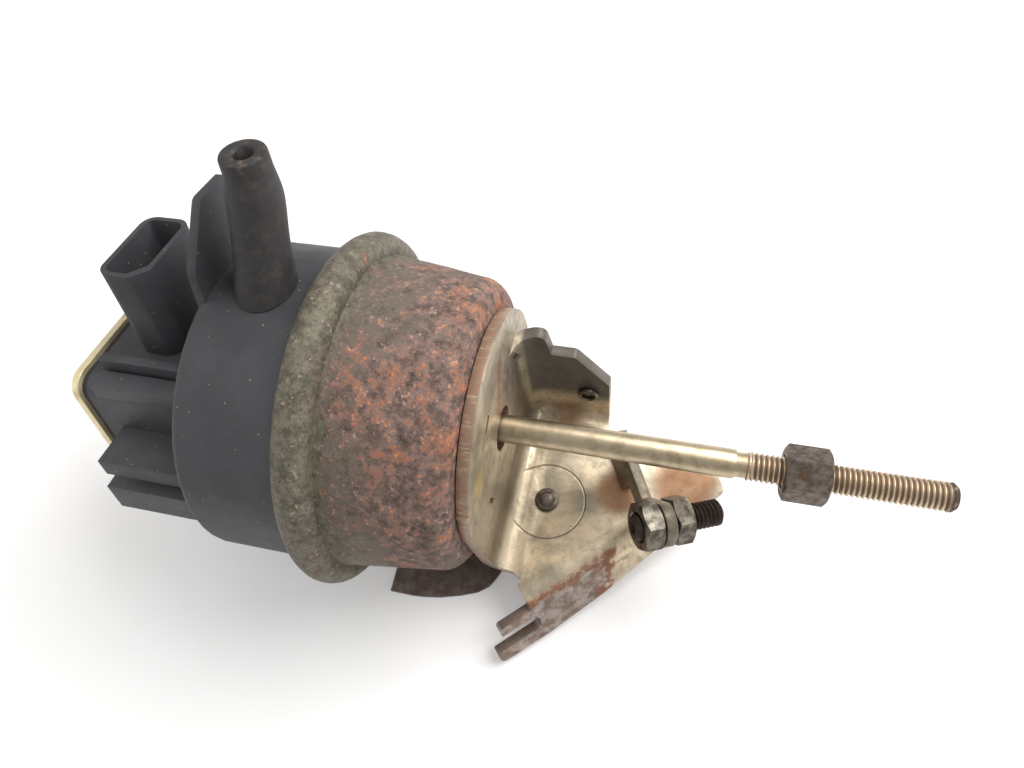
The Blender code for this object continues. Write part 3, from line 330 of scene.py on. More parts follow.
def rubber_finish(colours):
    """Dull rubber with brown dust, more of it near the cut end."""
    finish = Finish("black_rubber")
    broad = finish.noise(6, 4)
    fine = finish.noise(0.4, 4)
    dusty = finish.noise(2.0, 5, 0.7).between(0.45, 0.75)
    top = finish.z.between(52.0, 56.5)
    base = finish.layers(
        colours.rubber,
        (broad.between(0.35, 0.65), [c * 0.7 for c in colours.rubber]),
        (dusty * (0.25 + 0.5 * top), colours.dust))
    return finish.surface(base, 0.62 + 0.2 * dusty, ((fine, 0.03), (broad, 0.05)))


def can_finish(colours):
    """Rusted sheet: grey-olive under purple-brown and orange rust, redder towards the front and the top."""
    finish = Finish("rusty_sheet")
    broad = finish.noise(12, 4, 0.6, bend=0.1)
    patch = finish.noise(4.0, 7, 0.78, bend=0.1)
    clump = finish.noise(2.6, 6, 0.75)
    grit = finish.noise(1.0, 5, 0.75)
    fine = finish.noise(0.3, 3, 0.7)
    front = finish.x.between(-24.0, -7.0)
    high = finish.z.between(-24.0, 26.0)
    bead = finish.x.between(-24.5, -27.0)
    reach = 0.16 * front + 0.06 * high - 0.10 * bead
    bruise = (broad * 0.45 + patch * 0.55 + reach).between(0.47, 0.66)
    glow = (broad * 0.3 + clump * 0.4 + grit * 0.3 + 0.25 * reach).between(0.55, 0.62)
    ember = (clump * 0.45 + grit * 0.55 + 0.12 * reach).between(0.585, 0.64)
    pale = (grit * 0.6 + patch * 0.4).between(0.56, 0.64)
    pits = (grit * 0.6 + clump * 0.4).between(0.46, 0.37)
    red = finish.mix(clump.between(0.40, 0.60), srgb(86, 64, 58), colours.bruise)
    base = finish.layers(
        colours.can,
        (clump.between(0.38, 0.62), srgb(82, 78, 66)),
        (bruise * 0.85, red),
        (glow * 0.7, colours.rust),
        (ember * 0.85, srgb(206, 132, 74)),
        (pale * 0.6, srgb(188, 166, 156)),
        (fine.between(0.60, 0.72) * 0.4, srgb(196, 176, 156)),
        (pits * 0.75, srgb(54, 42, 36)))
    rough = 0.58 + 0.25 * bruise + 0.1 * glow
    metal = 0.4 - 0.35 * bruise - 0.2 * glow
    return finish.surface(base, rough, ((grit, 0.20), (clump, 0.30), (fine, 0.06)), metal.between(0.0, 1.0))


def zinc_finish(colours, name="olive_zinc", shade=1.0):
    """Worn zinc plate: streaks, stains, a faint ring, marks of paint, rusty edges, a rubbed flange, and painted
    shade when shade is below 1.
    """
    finish = Finish(name)
    broad = finish.noise(9, 4, 0.6, bend=0.3)
    cloud = finish.noise(2.4, 6, 0.68)
    fine = finish.noise(0.3, 4, 0.7)
    brushed = finish.noise(0.5, 4, 0.7, stretch=(0.08, 1.0, 1.0))
    # Stains on the floor and at the foot of the tab, a smudge, and a faint ring round the rivet
    near = finish.spot((24.5, -1.5, FLOOR_Z), 5.0, 0.7, cloud)
    far = finish.spot((40.0, 3.0, FLOOR_Z), 7.0, 0.6, cloud)
    foot = finish.spot((10.0, 15.0, -22.0), 5.0, 0.6, cloud)
    stain = near + far + 0.6 * foot
    smudge = finish.spot((17.8, -5.3, FLOOR_Z), 4.5, 0.8, cloud)
    away = finish.away((8.9, -6.3, FLOOR_Z))
    ring = away.between(8.7, 8.95) * away.between(9.3, 9.05) * finish.z.between(-23.4, -24.3)
    # The wall: darker, and darker still low down as painted shade, with a red stripe of paint, a yellow dab and
    # a rusty rim
    wall = finish.x.between(1.8, 0.5)
    # painted shade mask, rising towards the bottom of the wall
    low = finish.z.between(16.0, -12.0)
    aside, up = finish.y - 7.0, finish.z - 18.0
    across = 0.838 * aside - 0.546 * up
    along = -0.546 * aside - 0.838 * up
    stripe = across.between(-1.7, -0.5) * across.between(1.7, 0.5)
    stripe = stripe * along.between(-1.0, 2.0) * along.between(17.0, 10.0)
    dab = finish.spot((0.0, -16.0, 9.2), 2.6, 0.6, cloud)
    rim = finish.x.between(-0.15, -0.6)
    # Painted shade: the drawn corner between the wall and the tab is darkened, and given less metal
    corner_shade = finish.x.between(0.6, 2.2) * finish.y.between(9.0, 14.0) * finish.z.between(-18.0, -12.0)
    # The bent flange: a rubbed grey patch with rust at its border and along the bend
    below = finish.z.between(-25.2, -26.2)
    rubbed = below * finish.x.between(26.4, 24.6)
    grey = finish.mix(cloud.between(0.4, 0.6), srgb(150, 140, 138), srgb(112, 98, 94))
    border = finish.x.between(22.8, 24.8) * finish.x.between(27.2, 25.6) * below
    fold = finish.z.between(-24.8, -25.6) * finish.z.between(-27.8, -26.2) * finish.x.between(27.0, 25.0)
    rusty = ((border + fold) * 0.9 + below * 0.3).between(0.0, 1.0) * cloud.between(0.40, 0.56)
    base = finish.layers(
        colours.zinc,
        (broad.between(0.35, 0.65), srgb(168, 158, 138)),
        (cloud.between(0.5, 0.72) * 0.5, srgb(126, 116, 98)),
        (brushed.between(0.52, 0.7) * 0.25, srgb(224, 212, 190)),
        (stain.between(0.1, 0.9) * 0.8, colours.stain),
        (smudge * 0.5, srgb(92, 84, 72)),
        (ring * 0.55, srgb(96, 88, 74)),
        # painted shade: the wall darkens more low down
        (wall * (0.55 + 0.3 * low), srgb(124, 114, 102)),
        (wall * stripe * (0.35 + 0.4 * cloud), srgb(176, 92, 74)),
        (dab * 0.6, srgb(196, 172, 92)),
        # painted shade in the drawn corner
        (corner_shade * 0.92, srgb(74, 68, 62)),
        (rim * (0.5 + 0.5 * cloud), srgb(150, 112, 88)),
        (rim * brushed.between(0.55, 0.65) * 0.7, srgb(202, 180, 156)),
        (rubbed * 0.8, grey),
        (rusty * 0.85, srgb(142, 86, 50)),
        (fine.between(0.63, 0.72) * 0.45, srgb(96, 76, 56)),
        # painted shade: a shade below 1 darkens the whole plate
        (1 - shade, srgb(44, 40, 34)))
    dull = 0.34 + 0.25 * (1 - shade)
    rough = dull + 0.22 * cloud.between(0.4, 0.7) + 0.25 * stain.between(0.0, 1.0) + 0.3 * rusty
    metal = 0.72 - 0.5 * stain - 0.6 * rusty - 0.3 * rim - 0.45 * corner_shade
    heights = ((brushed, 0.015), (cloud, 0.05), (fine, 0.015), (1 - ring, 0.12))
    return finish.surface(base, rough, heights, metal.between(0.0, 1.0))


def steel_finish(colours):
    """Satin steel of the rod with faint turned rings, and brown dirt in its thread."""
    finish = Finish("worn_steel")
    rings = finish.noise(0.4, 3, 0.6, stretch=(1.0, 0.05, 0.05))
    cloud = finish.noise(3.0, 5, 0.65)
    fine = finish.noise(0.35, 4, 0.7)
    aside = finish.node("ShaderNodeVectorMath", {"operation": "MULTIPLY"}, {0: finish.place, 1: (0, 1, 1)})
    away = finish.node("ShaderNodeVectorMath", {"operation": "LENGTH"}, {0: aside}, "Value")
    thread = finish.x.between(49.8, 50.8)
    root = thread * away.between(2.86, 2.5)
    tip = finish.x.between(86.6, 88.0) * cloud.between(0.3, 0.5)
    base = finish.layers(
        colours.steel,
        (cloud.between(0.4, 0.7) * 0.6, srgb(140, 124, 98)),
        (thread * 0.7, srgb(214, 190, 164)),
        (root * 0.75, srgb(76, 58, 44)),
        (tip * 0.85, srgb(52, 42, 34)),
        (fine.between(0.64, 0.74) * 0.5, srgb(82, 64, 46)))
    rough = 0.26 + 0.14 * cloud + 0.12 * rings + 0.25 * root + 0.3 * tip
    metal = 0.98 - 0.4 * root - 0.3 * tip
    return finish.surface(base, rough, ((rings, 0.006), (fine, 0.006)), metal.between(0.0, 1.0))


def dark_finish(colours):
    """Dark, oily steel with a little rust."""
    finish = Finish("dark_steel")
    cloud = finish.noise(1.8, 5, 0.65)
    fine = finish.noise(0.3, 4, 0.7)
    base = finish.layers(
        colours.dark,
        (cloud.between(0.35, 0.7), srgb(66, 56, 48)),
        (cloud.between(0.58, 0.7) * 0.5, srgb(118, 82, 54)),
        (fine.between(0.6, 0.7) * 0.4, srgb(140, 126, 106)))
    metal = 0.85 - 0.3 * cloud.between(0.55, 0.7)
    return finish.surface(base, 0.38 + 0.3 * cloud, ((fine, 0.02), (cloud, 0.03)), metal)


def plate_finish(colours):
    """Pale yellow zinc plate."""
    finish = Finish("yellow_zinc")
    cloud = finish.noise(3.0, 5, 0.65)
    fine = finish.noise(0.3, 4, 0.7)
    base = finish.layers(
        colours.plate,
        (cloud.between(0.4, 0.7) * 0.7, srgb(206, 188, 136)),
        (fine.between(0.62, 0.72) * 0.4, srgb(150, 128, 84)))
    return finish.surface(base, 0.34 + 0.2 * cloud, ((fine, 0.01),), 0.5 + 0.2 * cloud)


def plain_finish(name, light, dark, rough, metallic):
    """Small pieces: two shades in clouds and a fine grain."""
    finish = Finish(name, metallic)
    cloud = finish.noise(2.0, 4)
    fine = finish.noise(0.3, 4, 0.7)
    base = finish.mix(cloud.between(0.35, 0.65), light, dark)
    return finish.surface(base, rough + 0.15 * cloud, ((fine, 0.01),))


FINISHES = {}


def make_finishes(colours):
    """Make every material, named as the record's slots are."""
    FINISHES.update({
        "charcoal_plastic": plastic_finish(colours),
        "black_rubber": rubber_finish(colours),
        "rusty_sheet": can_finish(colours),
        "olive_zinc": zinc_finish(colours),
        # a darker copy of the zinc: painted shade for the strap under the can and the stop bar
        "painted_shade_zinc": zinc_finish(colours, "painted_shade_zinc", 0.45),
        "nut_steel": plain_finish("nut_steel", srgb(128, 122, 110), srgb(74, 70, 64), 0.28, 0.95),
        "worn_steel": steel_finish(colours),
        "dark_steel": dark_finish(colours),
        "yellow_zinc": plate_finish(colours),
        "rusty_thread": plain_finish("rusty_thread", srgb(74, 54, 46), srgb(46, 36, 32), 0.55, 0.5),
        "tinned_brass": plain_finish("tinned_brass", srgb(190, 176, 140), srgb(150, 134, 96), 0.3, 1.0),
        "sintered_bronze": plain_finish("sintered_bronze", srgb(140, 112, 80), srgb(104, 82, 58), 0.5, 1.0),
        "green_board": plain_finish("green_board", srgb(48, 96, 58), srgb(36, 76, 46), 0.4, 0.0),
    })


def towards(origin, axis, side=(0, 0, 1)):
    """Return the placement whose local Z runs along an axis, from a point of the layout in mm."""
    axis = Vector(axis).normalized()
    across = Vector(side).cross(axis).normalized()
    turn = Matrix((across, axis.cross(across), axis)).transposed().to_4x4()
    return Matrix.Translation(LAYOUT + Vector(origin)) @ turn


def lathe(profile, steps, closed=False):
    """Spin (radius, height) points about Z into a closed body."""
    mesh = bmesh.new()
    points = [mesh.verts.new((radius, 0, height)) for radius, height in profile]
    pairs = zip(points, points[1:] + points[:1] if closed else points[1:])
    edges = [mesh.edges.new(pair) for pair in pairs]
    bmesh.ops.spin(mesh, geom=points + edges, cent=(0, 0, 0), axis=(0, 0, 1), angle=2 * math.pi, steps=steps,
                   use_merge=True)
    bmesh.ops.remove_doubles(mesh, verts=mesh.verts, dist=MERGE)
    bmesh.ops.recalc_face_normals(mesh, faces=mesh.faces)
    return mesh


def arc(centre, radius, start, end, steps):
    """Return points on an arc, from one angle to another in degrees."""
    angles = [math.radians(start + (end - start) * step / steps) for step in range(steps + 1)]
    return [(centre[0] + radius * math.cos(a), centre[1] + radius * math.sin(a)) for a in angles]


def slab(outline, low, high, place=Matrix()):
    """Make a flat body with an outline in local XY, between two heights."""
    mesh = bmesh.new()
    face = mesh.faces.new([mesh.verts.new((x, y, low)) for x, y in outline])
    grown = bmesh.ops.extrude_face_region(mesh, geom=[face])["geom"]
    top = [part for part in grown if isinstance(part, bmesh.types.BMVert)]
    bmesh.ops.translate(mesh, vec=(0, 0, high - low), verts=top)
    bmesh.ops.transform(mesh, matrix=place, verts=mesh.verts)
    bmesh.ops.recalc_face_normals(mesh, faces=mesh.faces)
    return mesh


def combined(mesh, tool, operation="DIFFERENCE"):
    """Cut or join one body with another."""
    items = []
    for body in (mesh, tool):
        data = bpy.data.meshes.new("body")
        body.to_mesh(data)
        body.free()
        items.append(bpy.data.objects.new("body", data))
        bpy.context.scene.collection.objects.link(items[-1])
    cut = items[0].modifiers.new("cut", "BOOLEAN")
    cut.operation = operation
    cut.solver = "EXACT"
    cut.object = items[1]
    result = bmesh.new()
    result.from_mesh(items[0].evaluated_get(bpy.context.evaluated_depsgraph_get()).to_mesh())
    for item in items:
        bpy.data.meshes.remove(item.data)
    bmesh.ops.remove_doubles(result, verts=result.verts, dist=MERGE)
    return result


def ribbon(path, thickness):
    """Return the outline of a strip along a path, with its thickness to the left."""
    points = [Vector(point) for point in path]
    inner = []
    for index, point in enumerate(points):
        before = (point - points[index - 1]).normalized() if index else None
        after = (points[index + 1] - point).normalized() if index < len(points) - 1 else before
        before = before or after
        lean = Vector((-before.y - after.y, before.x + after.x)).normalized()
        inner.append(point + lean * thickness / max(0.2, lean.dot(Vector((-after.y, after.x)))))
    return [tuple(point) for point in points] + [tuple(point) for point in reversed(inner)]


def bend_over(mesh, start, reach, turn):
    """Bend the upper part of a body towards local X, from a height on and over a length."""
    radius = reach / turn
    for vert in mesh.verts:
        if vert.co.z > start:
            angle = turn * (vert.co.z - start) / reach
            aside = radius - (radius - vert.co.x) * math.cos(angle)
            vert.co = (aside, vert.co.y, start + (radius - vert.co.x) * math.sin(angle))


def packed_copy(node):
    """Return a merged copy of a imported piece, in mm about the layout's middle."""
    mesh = bmesh.new()
    mesh.from_mesh(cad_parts[node].data)
    bmesh.ops.transform(mesh, matrix=Matrix.Translation(-LAYOUT) @ Matrix.Scale(1 / MM, 4), verts=mesh.verts)
    bmesh.ops.remove_doubles(mesh, verts=mesh.verts, dist=MERGE)
    bmesh.ops.dissolve_limit(mesh, angle_limit=FLAT, verts=mesh.verts, edges=mesh.edges)
    return mesh


def soften(mesh, width):
    """Round the sharp edges of a body."""
    sharp = [edge for edge in mesh.edges if edge.calc_face_angle(0.0) > SHARP]
    bmesh.ops.bevel(mesh, geom=sharp, offset=width, offset_type="OFFSET", segments=2, affect="EDGES",
                    profile=0.5, material=-1, clamp_overlap=True)
    return mesh


def nut(across, bore, low, high):
    """Make a chamfered hexagon nut along Z."""
    corner = across / 2 / math.cos(math.radians(30))
    body = slab(arc((0, 0), corner, 0, 300, 5), low - 1, high + 1)
    # The chamfer starts a little inside the flats and ends past the corners
    face = across / 2 * 0.97
    past = corner + 0.2
    drop = (past - face) * math.tan(math.radians(30))
    barrel = [(0, high), (face, high), (past, high - drop), (past, low + drop), (face, low), (0, low)]
    body = combined(body, lathe(barrel, 48), "INTERSECT")
    bevel = 0.4
    mouth = bore / 2 + bevel + 1
    drill = [(0, high + 1), (mouth, high + 1), (bore / 2, high - bevel), (bore / 2, low + bevel),
             (mouth, low - 1), (0, low - 1)]
    return combined(body, lathe(drill, 40))


def cut_thread(mesh, sizes, start, end):
    """Cut a thread into the fine rings of a turned body between two heights."""
    for vert in mesh.verts:
        along = vert.co.z
        away = math.hypot(vert.co.x, vert.co.y)
        if not start < along < end or away < THREAD_RADIUS - 0.05:
            continue
        turn = math.atan2(vert.co.y, vert.co.x) / (2 * math.pi)
        phase = (along / sizes.pitch - turn) % 1.0
        ridge = min(1.0, max(0.0, (abs(2 * phase - 1) - THREAD_CREST) / THREAD_FLANK))
        fade = min(1.0, (along - start) / sizes.pitch, (end - along) / sizes.pitch)
        share = (THREAD_RADIUS - sizes.depth * (1 - ridge) * fade) / away
        vert.co.x *= share
        vert.co.y *= share


def thread_rings(start, end, pitch):
    """Return the fine rings between two heights that a thread is cut into."""
    count = round(abs(end - start) / pitch * THREAD_RINGS)
    return [(THREAD_RADIUS, start + (end - start) * step / count) for step in range(count + 1)]


def add_piece(context, name, mesh, place, slot, body, nodes, sharp=40.0, finish=None):
    """Make a finished object of a mesh in mm: place it, shade it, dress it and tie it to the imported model."""
    if not mesh.faces:
        raise RuntimeError(f"{name} came out empty")
    bmesh.ops.transform(mesh, matrix=Matrix.Scale(MM, 4) @ place, verts=mesh.verts)
    data = bpy.data.meshes.new(name)
    mesh.to_mesh(data)
    mesh.free()
    data.materials.append(FINISHES[finish or slot])
    data.shade_smooth()
    data.set_sharp_from_angle(angle=math.radians(sharp))
    item = bpy.data.objects.new(name, data)
    context.scene.collection.objects.link(item)
    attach(item, body)
    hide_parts(*nodes)


class ACTUATOR_OT_finishes(Operator):
    """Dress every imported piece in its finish"""

    bl_idname = "actuator.finishes"
    bl_label = "Finishes"

    def execute(self, context):
        make_finishes(context.scene.actuator.colours)
        for name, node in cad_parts.items():
            for index, old in enumerate(node.data.materials):
                if old.name.split(".")[0] not in FINISHES:
                    raise RuntimeError(f"{name} has the finish {old.name}, which isn't made here")
                node.data.materials[index] = FINISHES[old.name.split(".")[0]]
        return {"FINISHED"}


class ACTUATOR_OT_can(Operator):
    """Make the rusted can with its rolled bead"""

    bl_idname = "actuator.can"
    bl_label = "Can"

    def execute(self, context):
        sizes = context.scene.actuator.can
        # The front face with its hole and rounded edge
        front, hole, corner = -2.8, 6.2, 5.5
        mouth = sizes.radius - 2.2
        edge = (mouth - corner, front - corner)
        outer = [(hole, front), (14.0, front), (20.0, front), *arc(edge, corner, 90, 0, 8)]
        # The side widens in two steps towards the bead
        side = [(mouth, front - corner), (sizes.radius - 1.1, -16.5), (sizes.radius, -26.2)]
        rows = 5
        for (wide, start), (next_wide, end) in zip(side, side[1:]):
            outer += [(wide + (next_wide - wide) * step / rows, start + (end - start) * step / rows)
                      for step in range(1, rows + 1)]
        # The bead is rolled round until it grips the housing
        bead = (sizes.radius + 0.9, sizes.bead_x)
        outer += arc(bead, sizes.bead_radius, 100, -97, 18)
        inner = arc(bead, sizes.bead_radius - sizes.wall, -97, 100, 14)
        inner += [(sizes.radius - sizes.wall, -26.0), (mouth - sizes.wall, front - corner)]
        inner += [*arc(edge, corner - sizes.wall, 0, 90, 5)[1:], (hole, front - sizes.wall)]
        mesh = lathe(outer + inner, sizes.steps, closed=True)
        # The sheet is uneven, except where it meets the bracket
        for vert in mesh.verts:
            away = Vector((vert.co.x, vert.co.y, 0))
            share = min(1.0, max(0.0, (away.length - 24) / 6))
            wave = noise.noise(vert.co * 0.09) * 0.7 + noise.noise(vert.co * 0.35) * 0.3
            vert.co += away.normalized() * wave * sizes.unevenness * share
        add_piece(context, "can_body", mesh, towards((0, 0, 0), (1, 0, 0)), "rusty_sheet", "housing",
                  ["can_shell"])
        return {"FINISHED"}


class ACTUATOR_OT_hose(Operator):
    """Make the cut end of the rubber hose on the vacuum pipe"""

    bl_idname = "actuator.hose"
    bl_label = "Hose end"

    def execute(self, context):
        sizes = context.scene.actuator.hose
        # Where the pipe stands on the round housing, and how it leans
        housing = 34.0
        around = math.radians(13.0)
        lean = math.radians(35.0)
        root = Vector((-44.0, housing * math.sin(around), housing * math.cos(around)))
        axis = Vector((0, math.sin(lean), math.cos(lean)))
        tall, foot, edge = 25.6, 5.5, 0.5
        bore = sizes.bore / 2
        profile = [(bore, tall - edge), (bore + edge, tall), (sizes.top / 2 - edge, tall)]
        profile += [(sizes.top / 2 - edge * 0.3, tall - edge * 0.3), (sizes.top / 2, tall - edge)]
        # Diameters, and their distances from the cut end
        stations = [(sizes.top, 2.0), (sizes.swell, 9.0), (sizes.waist, 14.5), (sizes.base, tall + foot)]
        rows = 6
        for (wide, start), (next_wide, end) in zip(stations, stations[1:]):
            for step in range(1, rows + 1):
                blend = (1 - math.cos(math.pi * step / rows)) / 2
                profile.append(((wide + (next_wide - wide) * blend) / 2,
                                tall - start - (end - start) * step / rows))
        # The pipe's room inside the hose
        pipe = 3.1
        profile += [(pipe, -foot), (pipe, 16.3), (bore, 17.6)]
        mesh = lathe(profile, 64, closed=True)
        bend = 14.0
        bend_over(mesh, bend, tall - bend, math.radians(24))
        bmesh.ops.transform(mesh, matrix=towards(root, axis, (1, 0, 0)), verts=mesh.verts)
        chamber = lathe([(0, -60), (housing + 0.2, -60), (housing + 0.2, -20), (0, -20)], 144)
        bmesh.ops.transform(chamber, matrix=towards((0, 0, 0), (1, 0, 0)), verts=chamber.verts)
        add_piece(context, "hose_end", combined(mesh, chamber), Matrix(), "black_rubber", "housing",
                  ["vacuum_hose_end"])
        return {"FINISHED"}


class ACTUATOR_OT_rod(Operator):
    """Make the rod with its neck and thread"""

    bl_idname = "actuator.rod"
    bl_label = "Threaded rod"

    def execute(self, context):
        sizes = context.scene.actuator.thread
        shaft, tail, neck = 3.0, 2.0, 2.55
        low = ROD_LOW[0] / MM - LAYOUT.x
        profile = [(0, low), (tail, low), (tail, -12.0), (shaft, -12.0), (shaft, 47.6), (2.9, 48.0),
                   (neck, 48.0), (neck, 50.3)]
        profile += thread_rings(50.5, ROD_TIP - 0.9, sizes.pitch)
        profile += [(THREAD_RADIUS - 0.3, ROD_TIP - 0.5), (2.2, ROD_TIP), (1.4, ROD_TIP), (1.1, ROD_TIP - 0.6),
                    (0, ROD_TIP - 0.8)]
        mesh = lathe(profile, sizes.steps)
        cut_thread(mesh, sizes, 50.4, ROD_TIP - 0.8)
        add_piece(context, "threaded_rod", mesh, towards((0, 0, 0), (1, 0, 0)), "worn_steel", "rod",
                  ["actuator_rod"], sharp=50)
        return {"FINISHED"}


class ACTUATOR_OT_stop_screw(Operator):
    """Make the threaded stop screw, its two nuts and the bar that carries it"""

    bl_idname = "actuator.stop_screw"
    bl_label = "Stop screw"

    def execute(self, context):
        sizes = context.scene.actuator.thread
        turn = math.radians(27.0)
        dip = math.radians(17.0)
        axis = Vector((math.cos(dip) * math.cos(turn), math.cos(dip) * math.sin(turn), -math.sin(dip)))
        place = towards((35.6, -10.3, -13.7), axis)
        profile = [(0, 13.9), (2.0, 13.9), (THREAD_RADIUS - 0.2, 13.3), *thread_rings(13.2, -6.0, sizes.pitch)]
        profile += [(THREAD_RADIUS - 0.4, -6.4), (2.2, -6.8), (1.2, -6.8), (1.0, -6.2), (0, -6.0)]
        mesh = lathe(profile, sizes.steps)
        cut_thread(mesh, sizes, -6.2, 13.3)
        add_piece(context, "threaded_stop", mesh, place, "dark_steel", "housing", ["stop_screw"], sharp=50,
                  finish="rusty_thread")
        # The nuts stand on either side of the bar
        half, gap, end = 1.25, 0.2, 4.5
        across, bore = 9.6, 6.3
        near = nut(across, bore, -half - end, -half - gap)
        add_piece(context, "near_nut", near, place, "worn_steel", "housing", ["stop_nut_near"],
                  finish="nut_steel")
        far = nut(across, bore, half + gap, half + end)
        add_piece(context, "far_nut", far, place, "worn_steel", "housing", ["stop_nut_far", "stop_washer"],
                  finish="nut_steel")
        outline = [*arc((0, 0), 5.2, 60, 270, 16), (6.0, -6.8), (13.0, -6.8), (13.0, -13.0), (19.1, -13.0),
                   (24.3, -8.0), (24.3, -2.8), (7.0, -2.8)]
        arm = slab(outline, -half, half)
        arm = combined(arm, lathe([(0, 5), (3.3, 5), (3.3, -5), (0, -5)], 32))
        bmesh.ops.transform(arm, matrix=Matrix.Translation(-LAYOUT) @ place, verts=arm.verts)
        # The bar ends a little above the floor
        low = bmesh.ops.bisect_plane(arm, geom=arm.verts[:] + arm.edges[:] + arm.faces[:],
                                     plane_co=(0, 0, -24.2), plane_no=(0, 0, -1), clear_outer=True)["geom_cut"]
        bmesh.ops.holes_fill(arm, edges=[part for part in low if isinstance(part, bmesh.types.BMEdge)])
        bmesh.ops.recalc_face_normals(arm, faces=arm.faces)
        # the bar wears the zinc darkened as painted shade
        add_piece(context, "stop_bar", soften(arm, 0.2), Matrix.Translation(LAYOUT), "olive_zinc", "housing",
                  ["stop_arm"], finish="painted_shade_zinc")
        return {"FINISHED"}


class ACTUATOR_OT_housing(Operator):
    """Round the edges of the plastic housing and of the rear cover"""

    bl_idname = "actuator.housing"
    bl_label = "Housing"

    def execute(self, context):
        rounding = 0.2
        for name, node, slot in (("moulded_housing", "plastic_housing", "charcoal_plastic"),
                                 ("cover_plate", "rear_cover", "yellow_zinc")):
            add_piece(context, name, soften(packed_copy(node), rounding), Matrix.Translation(LAYOUT), slot,
                      "housing", [node], sharp=34)
        return {"FINISHED"}


class ACTUATOR_OT_bracket(Operator):
    """Make the pressed bracket with its rivets and the strap under it"""

    bl_idname = "actuator.bracket"
    bl_label = "Bracket"

    def execute(self, context):
        # Outlines in X and Z are turned to run across the bracket
        side = Matrix(((1, 0, 0), (0, 0, 1), (0, -1, 0))).transposed().to_4x4()
        centre = Matrix.Translation(LAYOUT)
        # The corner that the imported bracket's gusset fills is open on the real one
        room = [(0, -17.0), *arc((5.0, -19.5), 5.0, 180, 270, 6), (7.3, FLOOR_Z), (7.3, -17.0)]
        sheet = combined(packed_copy("mounting_bracket"), slab(room, -0.4, 7.4, side))
        bmesh.ops.dissolve_limit(sheet, angle_limit=FLAT, verts=sheet.verts, edges=sheet.edges)
        add_piece(context, "pressed_bracket", soften(sheet, 0.25), centre, "olive_zinc", "housing",
                  ["mounting_bracket"], sharp=34)
        dome = [(0, 1.9), (0.8, 1.85), (1.4, 1.6), (1.8, 1.1), (1.95, 0.85), (2.5, 0.8), (2.75, 0.55),
                (2.7, 0.3), (1.2, 0.3), (1.2, -4.1), (2.4, -4.1), (2.4, -4.6), (0, -4.7)]
        add_piece(context, "floor_rivet", lathe(dome, 48), towards((8.9, -6.1, FLOOR_Z), (0, 0, 1), (0, 1, 0)),
                  "worn_steel", "housing", ["floor_stud"], finish="dark_steel")
        ring = [(0, 0.6), (0.7, 0.6), (0.85, 0.1), (1.35, 0.1), (1.5, 1.15), (1.8, 1.35), (2.2, 1.2),
                (2.4, 0.8), (2.4, 0.3), (1.2, 0.3), (1.2, -2.8), (2.2, -2.8), (2.2, -3.3), (0, -3.4)]
        add_piece(context, "tab_rivet", lathe(ring, 48), towards((15.0, 17.5, -12.5), (0, -1, 0)),
                  "worn_steel", "housing", ["tab_stud"], finish="nut_steel")
        self.add_strap(context, side, centre)
        return {"FINISHED"}

    def add_strap(self, context, side, centre):
        """Make the thin strap that goes down from the floor and runs back under the can."""
        top, low, bend, upright = -27.3, -37.5, 2.6, 1.5
        path = [(11.0, top), *arc((upright + bend, top - bend), bend, 90, 180, 6),
                *arc((upright - bend, low + bend), bend, 0, -90, 6), (-26.2, low)]
        strap = slab(ribbon(path, 1.0), -2.0, 31.4, side)
        edge = [(-29, -31.6), (-29, 5), (14, 5), (14, -15), (2, -18.5), (0.2, -20), (-1.2, -23.4),
                (-2.6, -25.8), (-5, -27.6), (-9, -29.2), (-14, -30.6), (-18, -31.2), (-22, -31.5)]
        strap = combined(strap, slab(edge, low - 3, top + 3), "INTERSECT")
        hole = lathe([(0, 5), (1.8, 5), (1.8, -5), (0, -5)], 24)
        bmesh.ops.translate(hole, vec=(8.9, -6.1, top), verts=hole.verts)
        # the strap wears the zinc darkened as painted shade, for the can's shadow
        add_piece(context, "thin_strap", soften(combined(strap, hole), 0.15), centre, "olive_zinc", "housing",
                  ["under_shield"], finish="painted_shade_zinc")


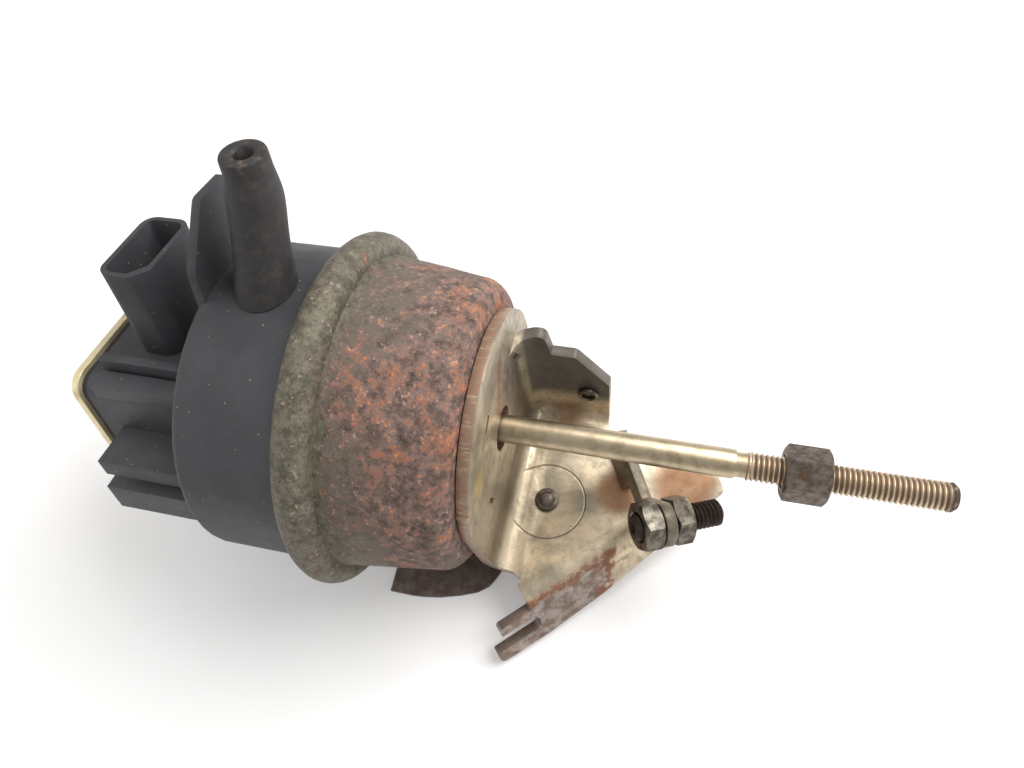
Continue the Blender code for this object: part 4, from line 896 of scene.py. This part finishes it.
class ACTUATOR_OT_stage(Operator):
    """Make the floor, the lamps and the camera"""

    bl_idname = "actuator.stage"
    bl_label = "Stage"

    def execute(self, context):
        scene = context.scene
        sizes = scene.actuator.stage
        self.add_floor(context, sizes)
        self.add_lamp(context, "key", sizes.key_place, sizes.key_size, sizes.key)
        self.add_lamp(context, "fill", sizes.fill_place, sizes.fill_size, sizes.fill)
        self.add_camera(context, sizes)
        world = bpy.data.worlds.new("room")
        world.use_nodes = True
        world.node_tree.nodes["Background"].inputs["Color"].default_value = (1, 1, 1, 1)
        world.node_tree.nodes["Background"].inputs["Strength"].default_value = sizes.room
        scene.world = world
        scene.view_settings.view_transform = "Standard"
        return {"FINISHED"}

    def add_floor(self, context, sizes):
        """Add the floor just under the part's lowest point."""
        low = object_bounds()[0][2]
        mesh = bmesh.new()
        bmesh.ops.create_grid(mesh, x_segments=8, y_segments=8, size=sizes.reach)
        bmesh.ops.translate(mesh, vec=(0, 0, low - 0.1 * MM), verts=mesh.verts)
        data = bpy.data.meshes.new("floor")
        mesh.to_mesh(data)
        mesh.free()
        floor = bpy.data.objects.new("floor", data)
        context.scene.collection.objects.link(floor)
        data.materials.append(self.floor_finish(sizes))
        floor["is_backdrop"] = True

    def floor_finish(self, sizes):
        """White floor that keeps the shadow: some of its white shows in the picture and in mirrors alone."""
        finish = Finish("floor")
        finish.feed(finish.shader.inputs["Base Color"], sizes.floor)
        finish.shader.inputs["Roughness"].default_value = 0.9
        path = {name: finish.node("ShaderNodeLightPath", output=name)
                for name in ("Is Camera Ray", "Is Glossy Ray", "Is Transmission Ray")}
        seen = path["Is Camera Ray"] + path["Is Glossy Ray"] + path["Is Transmission Ray"]
        finish.feed(finish.shader.inputs["Emission Color"], finish.mix(seen, (0, 0, 0), (sizes.glow,) * 3))
        finish.shader.inputs["Emission Strength"].default_value = 1.0
        return finish.material

    def add_lamp(self, context, name, place, size, power):
        """Add one square lamp that points at the middle of the part."""
        light = bpy.data.lights.new(name, "AREA")
        light.size = size
        light.energy = power
        lamp = bpy.data.objects.new(name, light)
        context.scene.collection.objects.link(lamp)
        lamp.location = Vector(place) * MM
        lamp.rotation_euler = (-Vector(place)).to_track_quat("-Z", "Y").to_euler()

    def add_camera(self, context, sizes):
        """Add the camera where the photograph was taken from."""
        lens = bpy.data.cameras.new("camera")
        lens.sensor_width = 36
        lens.lens = sizes.lens
        lens.shift_y = sizes.shift
        lens.clip_start = 5 * MM
        camera = bpy.data.objects.new("camera", lens)
        context.scene.collection.objects.link(camera)
        back = Vector(sizes.back).normalized()
        up = back.cross(Vector(sizes.right)).normalized()
        turn = Matrix((up.cross(back), up, back)).transposed().to_4x4()
        camera.matrix_world = Matrix.Translation(Vector(sizes.eye) * MM) @ turn
        context.scene.camera = camera


class ACTUATOR_PT_panel(Panel):
    """List the steps in the sidebar"""

    bl_idname = "ACTUATOR_PT_panel"
    bl_label = "Wastegate actuator"
    bl_space_type = "VIEW_3D"
    bl_region_type = "UI"
    bl_category = "Actuator"

    def draw(self, context):
        for step in STEPS:
            self.layout.operator(step.bl_idname)


STEPS = (ACTUATOR_OT_finishes, ACTUATOR_OT_housing, ACTUATOR_OT_bracket, ACTUATOR_OT_can, ACTUATOR_OT_hose,
         ACTUATOR_OT_rod, ACTUATOR_OT_stop_screw, ACTUATOR_OT_stage)
GROUPS = (CanSizes, HoseSizes, ThreadSizes, FinishColours, StageSettings, ActuatorSettings)


def register():
    """Register the classes and the settings."""
    for item in (*GROUPS, *STEPS, ACTUATOR_PT_panel):
        bpy.utils.register_class(item)
    bpy.types.Scene.actuator = PointerProperty(type=ActuatorSettings)


def unregister():
    """Take the classes and the settings back."""
    del bpy.types.Scene.actuator
    for item in reversed((*GROUPS, *STEPS, ACTUATOR_PT_panel)):
        bpy.utils.unregister_class(item)


def main():
    """Run every step in order."""
    register()
    for step in STEPS:
        group, name = step.bl_idname.split(".")
        getattr(getattr(bpy.ops, group), name)()


if __name__ == "__main__":
    main()
